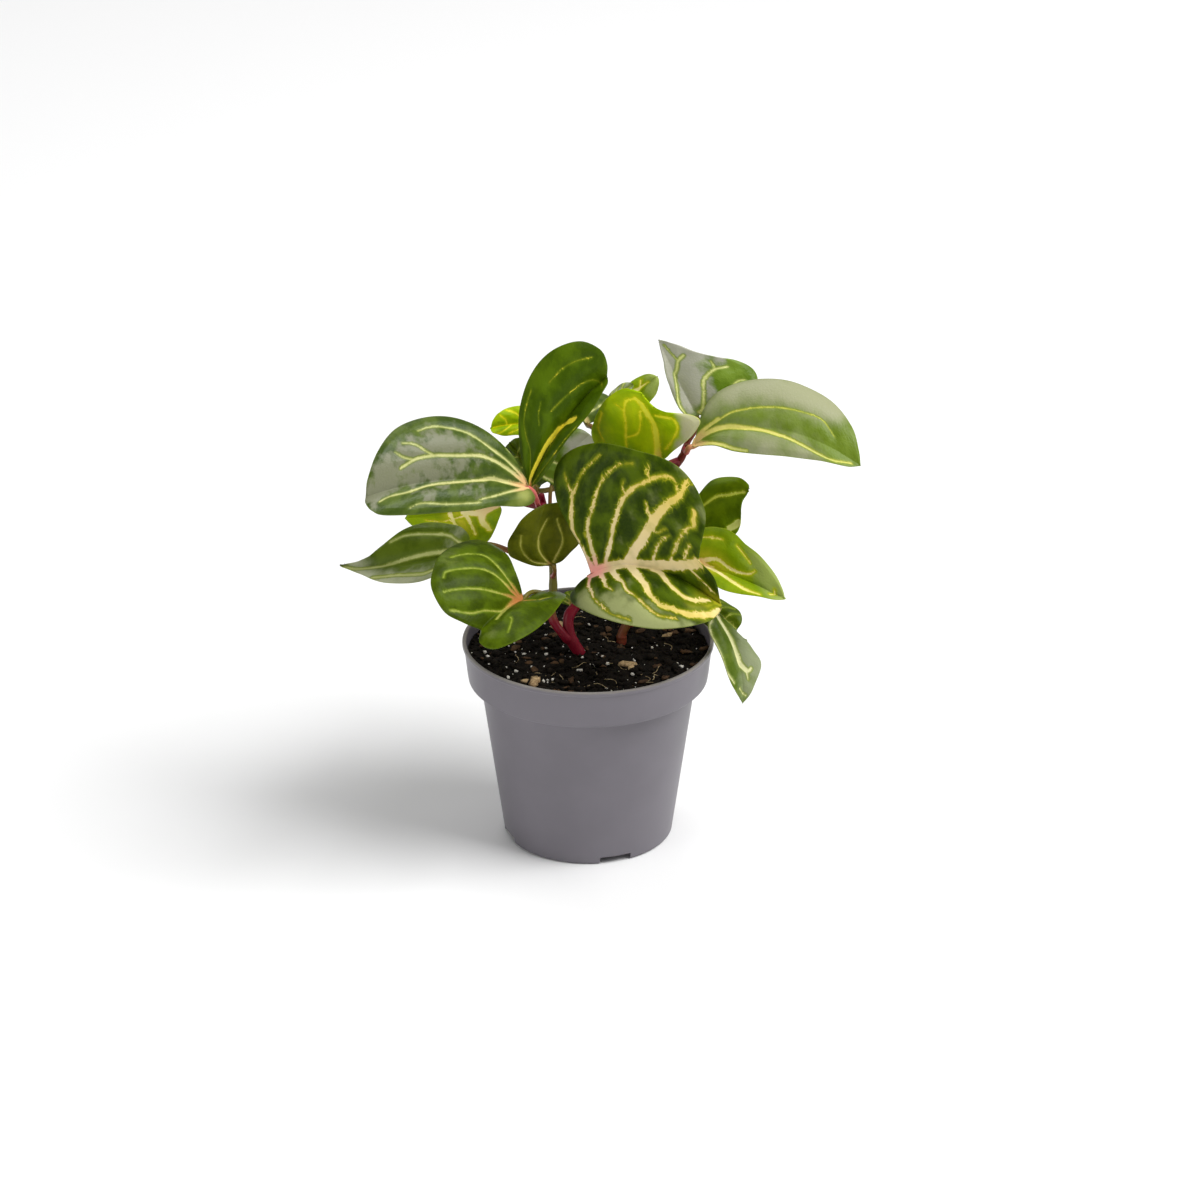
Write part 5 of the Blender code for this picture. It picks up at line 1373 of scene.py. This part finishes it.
SHEEN_SPOTS = {  # painted sheen, soft silvery spots: along, out, reach in mm, amount
    "leaf_left_upper": [(0.5, 0.42, 15, 0.62), (0.72, 0.35, 15, 0.7), (0.9, 0.2, 8, 0.9),
                        (0.28, 0.3, 9, 0.3),
                        (0.35, -0.45, 10, 0.5), (0.62, -0.4, 9, 0.45), (0.95, -0.1, 7, 0.7)],
    "leaf_right_long": [(0.1, -0.6, 9, 0.5), (0.25, -0.75, 11, 0.8), (0.45, -0.82, 12, 0.9),
                        (0.65, -0.82, 12, 1.0),
                        (0.82, -0.76, 10, 0.9), (0.2, 0.6, 12, 0.45), (0.45, 0.85, 13, 0.7),
                        (0.7, 0.85, 12, 0.65)],
    "leaf_top_right": [(0.25, -0.3, 10, 0.9), (0.45, -0.05, 11, 1.0), (0.65, 0.05, 10, 1.0),
                       (0.85, 0, 9, 0.9),
                       (0.3, 0.28, 8, 0.6), (0.8, 0.4, 7, 0.8), (0.72, 0.6, 6, 0.6)],
    "leaf_front_large": [(-0.12, 0.35, 7, 0.6), (-0.1, 0.6, 9, 1.0), (0.05, 0.85, 9, 1.0),
                         (0.2, 0.97, 9, 1.0),
                         (0.38, 0.98, 9, 1.0), (0.55, 0.98, 8, 1.0), (0.72, 0.9, 6, 0.8), (0.15, 0.6, 8, 0.5),
                         (0.34, 0.8, 8, 0.7), (0.22, 0.45, 6, 0.3), (0.97, -0.75, 7, 0.4),
                         (0.88, -0.99, 7, 0.5),
                         (0.45, -0.45, 5, 0.3), (0.3, -0.2, 4, 0.35), (0.64, -0.66, 6, 0.35),
                         (0.8, -0.5, 6, 0.35),
                         (0.42, -0.75, 5, 0.25), (0.72, 0.2, 5, 0.3), (0.5, 0.4, 4, 0.3),
                         (0.3, 0.35, 4, 0.3)],
    "leaf_tall": [(0.85, 0.0, 6, 0.25), (0.2, 0.9, 10, 0.3)],
    "leaf_right_bright": [(0.75, -0.45, 8, 0.6), (0.88, -0.2, 8, 0.8), (0.95, 0.1, 8, 0.7),
                          (0.6, -0.7, 7, 0.4)],
    "leaf_lime_young": [(0.62, 0.85, 6, 1.0), (0.48, 0.75, 5, 0.9), (0.3, 0.5, 5, 0.8), (0.78, 0.7, 4, 0.7)],
    "leaf_left_pointed": [(0.15, 0.4, 9, 0.45), (0.92, 0, 9, 0.6), (0.6, -0.85, 8, 0.9), (0.4, -0.9, 8, 0.8),
                          (0.8, -0.6, 8, 0.9), (0.2, -0.8, 8, 0.6)],
    "leaf_right_hanging": [(0.3, -0.5, 7, 0.7), (0.6, -0.5, 8, 0.9), (0.85, -0.1, 7, 0.6),
                           (0.5, -0.2, 6, 0.5)],
    "leaf_front_left": [(0.4, 0.95, 6, 0.4), (1.1, -0.4, 6, 0.5), (0.6, 0.85, 6, 0.4)],
    "leaf_top_tiny": [(0.5, 0, 8, 1.0)], "leaf_top_small": [(0.75, 0.5, 6, 0.9), (0.95, 0, 5, 0.7)],
    "leaf_behind_tall": [(0.5, 0.4, 7, 0.8), (0.8, 0.1, 8, 1.0)],
}
GLOW = {  # painted light showing through, soft yellow-green spots: along, out, reach in mm, amount
    "leaf_front_large": [(0.97, 0.02, 7, 1.0), (0.9, 0.25, 7, 0.8), (0.78, 0.55, 7, 0.6)],
    "leaf_lime_young": [(0.8, -0.3, 14, 0.35), (0.3, 0, 12, 0.3)],
    "leaf_right_bright": [(0.15, 0, 8, 0.9), (0.35, -0.1, 8, 0.5)],
    "leaf_left_upper": [(0.02, -0.3, 6, 0.8), (0.1, -0.85, 7, 0.35)],
    "leaf_tall": [(0.5, 0.4, 6, 0.3)],
    "leaf_left_yellow": [(0.45, -0.3, 10, 0.8)],
    "leaf_left_pointed": [(0.1, -0.1, 8, 0.3)],
}
STALKS = {  # colour at the stem, colour at the blade
    "leaf_front_large": ((140, 24, 50), (196, 60, 90)),
    "leaf_right_long": ((196, 72, 90), (206, 150, 104)),
    "leaf_front_left": ((92, 92, 26), (112, 104, 36)),
    "leaf_left_upper": ((140, 26, 50), (210, 110, 100)),
    "leaf_tall": ((140, 26, 50), (170, 130, 60)),
}
PLAIN_STALK = ((130, 40, 50), (120, 104, 36))
print("leaf looks:", len(LEAF_LOOK))

# %% Leaf recipes
def vein_edge(tree, place, ragged):
    """The depth in the vein with a frayed edge: a slow wander, a fine one, and spikes along cell walls."""
    vein = stored(tree, "vein")
    wander = times(tree, minus(tree, noise(tree, place, 260.0, 3.0), 0.5), 2.6 * ragged)
    fine = times(tree, minus(tree, noise(tree, place, 1100.0, 2.0), 0.5), 0.8 * ragged)
    walls = cell_walls(tree, place, 340.0)
    here_and_there = ease(tree, noise(tree, place, 150.0, 2.0), 0.42, 0.62)
    spikes = times(tree, times(tree, ease(tree, walls, 0.1, 0.0), here_and_there), ragged)
    frayed = plus(tree, plus(tree, vein, wander), plus(tree, fine, spikes))
    return minus(tree, frayed, 0.2 * ragged)


def distance_from_base(tree, place):
    """In mm, with the way across counted longer."""
    split = tree.nodes.new("ShaderNodeSeparateXYZ")
    plug(tree, split.inputs[0], place)
    across = math_step(tree, "POWER", times(tree, split.outputs["X"], 1400.0), 2.0)
    along = math_step(tree, "POWER", times(tree, split.outputs["Y"], 1000.0), 2.0)
    return math_step(tree, "SQRT", plus(tree, across, along))


def blade_paint(name, look, underside):
    """The finish of one face of a blade, from its row in the table of looks."""
    green, ragged, mottled, blush, blush_reach, roughness, specular = look
    dark, light, sheen_grey, border, edge, vein_root, vein_end = (colour(*c) for c in GREENS[green])
    paint, tree, shader = new_material(f"{name}_{'underside' if underside else 'upper'}", roughness, specular)
    place = stored(tree, "flat", vector=True)
    margin = stored(tree, "margin")
    patches = noise(tree, place, 95.0, 3.0)
    base = blend_colour(tree, ease(tree, patches, 0.36, 0.66), dark, light)
    # Painted sheen: where sheen spots and mottling gather, the green turns to the grey of the reflected room.
    drift = times(tree, minus(tree, noise(tree, place, 150.0, 4.0), 0.5), 0.3 + 1.2 * mottled)
    sheen_share = plus(tree, stored(tree, "sheen_spots"), drift)
    base = blend_colour(tree, ease(tree, sheen_share, 0.1 + 0.25 * mottled, 0.9 - 0.25 * mottled), base, sheen_grey)
    # Painted light: glow spots warm the green towards the vein edge colour, as if lit through the blade.
    glow_share = plus(tree, stored(tree, "glow"), times(tree, drift, 0.5))
    base = blend_colour(tree, ease(tree, glow_share, 0.15, 0.95), base, edge)
    net = cell_walls(tree, place, 560.0)
    base = blend_colour(tree, times(tree, ease(tree, net, 0.08, 0.0), 0.10), base, border)
    frayed = vein_edge(tree, place, ragged)
    halo = 0.4 + 0.9 * ragged
    base = blend_colour(tree, times(tree, ease(tree, frayed, -1.8 * halo, -0.4 * halo), 0.85), base, border)
    base = blend_colour(tree, ease(tree, frayed, -0.7 * halo, 0.0), base, edge)
    cream = blend_colour(tree, stored(tree, "share"), vein_root, vein_end)
    fading = plus(tree, times(tree, ease(tree, noise(tree, place, 120.0, 2.0), 0.35, 0.6), 0.28), 0.72)
    base = blend_colour(tree, times(tree, ease(tree, frayed, -0.15, 0.3), fading), base, cream)
    near_base = ease(tree, distance_from_base(tree, place), float(blush_reach), blush_reach * 0.25)
    in_vein = ease(tree, frayed, -0.8, 0.25)
    base = blend_colour(tree, times(tree, near_base, in_vein), base, colour(*blush))
    base = blend_colour(tree, times(tree, ease(tree, margin, 0.6, 0.1), 0.5), base, border)
    if underside:
        base = blend_colour(tree, 0.4, base, colour(150, 154, 110))
        shader.inputs["Roughness"].default_value = 0.6
    else:
        gloss = plus(tree, times(tree, patches, 0.14), roughness - 0.07)
        plug(tree, shader.inputs["Roughness"], plus(tree, gloss, times(tree, in_vein, 0.08)))
    plug(tree, shader.inputs["Base Color"], base)
    bump(tree, shader, ease(tree, net, 0.0, 0.3), 0.00008, 0.5)
    return paint


def stalk_paint(name):
    """A stalk that blends from its colour at the stem to its colour at the blade."""
    start, end = STALKS.get(name, PLAIN_STALK)
    paint, tree, shader = new_material(name + "_stalk", 0.42, 0.25)
    place = object_place(tree)
    streak = times(tree, minus(tree, noise(tree, place, 260.0), 0.5), 0.7)
    share = ease(tree, plus(tree, stored(tree, "share"), streak), 0.1, 0.95)
    plug(tree, shader.inputs["Base Color"], blend_colour(tree, share, colour(*start), colour(*end)))
    bump(tree, shader, noise(tree, place, 500.0), 0.00006, 0.5)
    return paint


def leaf_materials(name):
    """Upper face, underside and stalk."""
    look = LEAF_LOOK.get(name, PLAIN_LOOK)
    return blade_paint(name, look, False), blade_paint(name, look, True), stalk_paint(name)


print("leaf recipes are ready")

# %% Make every leaf
fine_leaves = {}
for number, (name, leaf) in enumerate(LEAVES.items()):
    fine_leaves[name] = make_leaf(name, leaf, number)
print("leaf faces:", sum(len(item.data.polygons) for item in fine_leaves.values()))

# %% [markdown]
# ## Stem finish
# The shoots are crimson near the soil and at the top joints, and green-brown between, with fine streaks
# along them.

# %% Stem material
paint, tree, shader = new_material("stem_skin", 0.42, 0.25)
place = object_place(tree)
streak = times(tree, minus(tree, noise(tree, place, 210.0, 4.0), 0.5), 0.6)
share = ease(tree, plus(tree, stored(tree, "green"), streak), 0.05, 0.9)
skin = blend_colour(tree, share, colour(122, 14, 36), colour(104, 98, 36))
flecks = ease(tree, noise(tree, place, 850.0, 2.0), 0.62, 0.72)
skin = blend_colour(tree, times(tree, flecks, 0.3), skin, colour(150, 100, 70))
plug(tree, shader.inputs["Base Color"], skin)
bump(tree, shader, noise(tree, place, 620.0), 0.0001, 0.6)
for piece in STEM_NODES:
    stem_pieces[piece].data.materials.clear()
    stem_pieces[piece].data.materials.append(paint)
print("stems have their finish")

# %% [markdown]
# ## Clearing the selection

deselect()
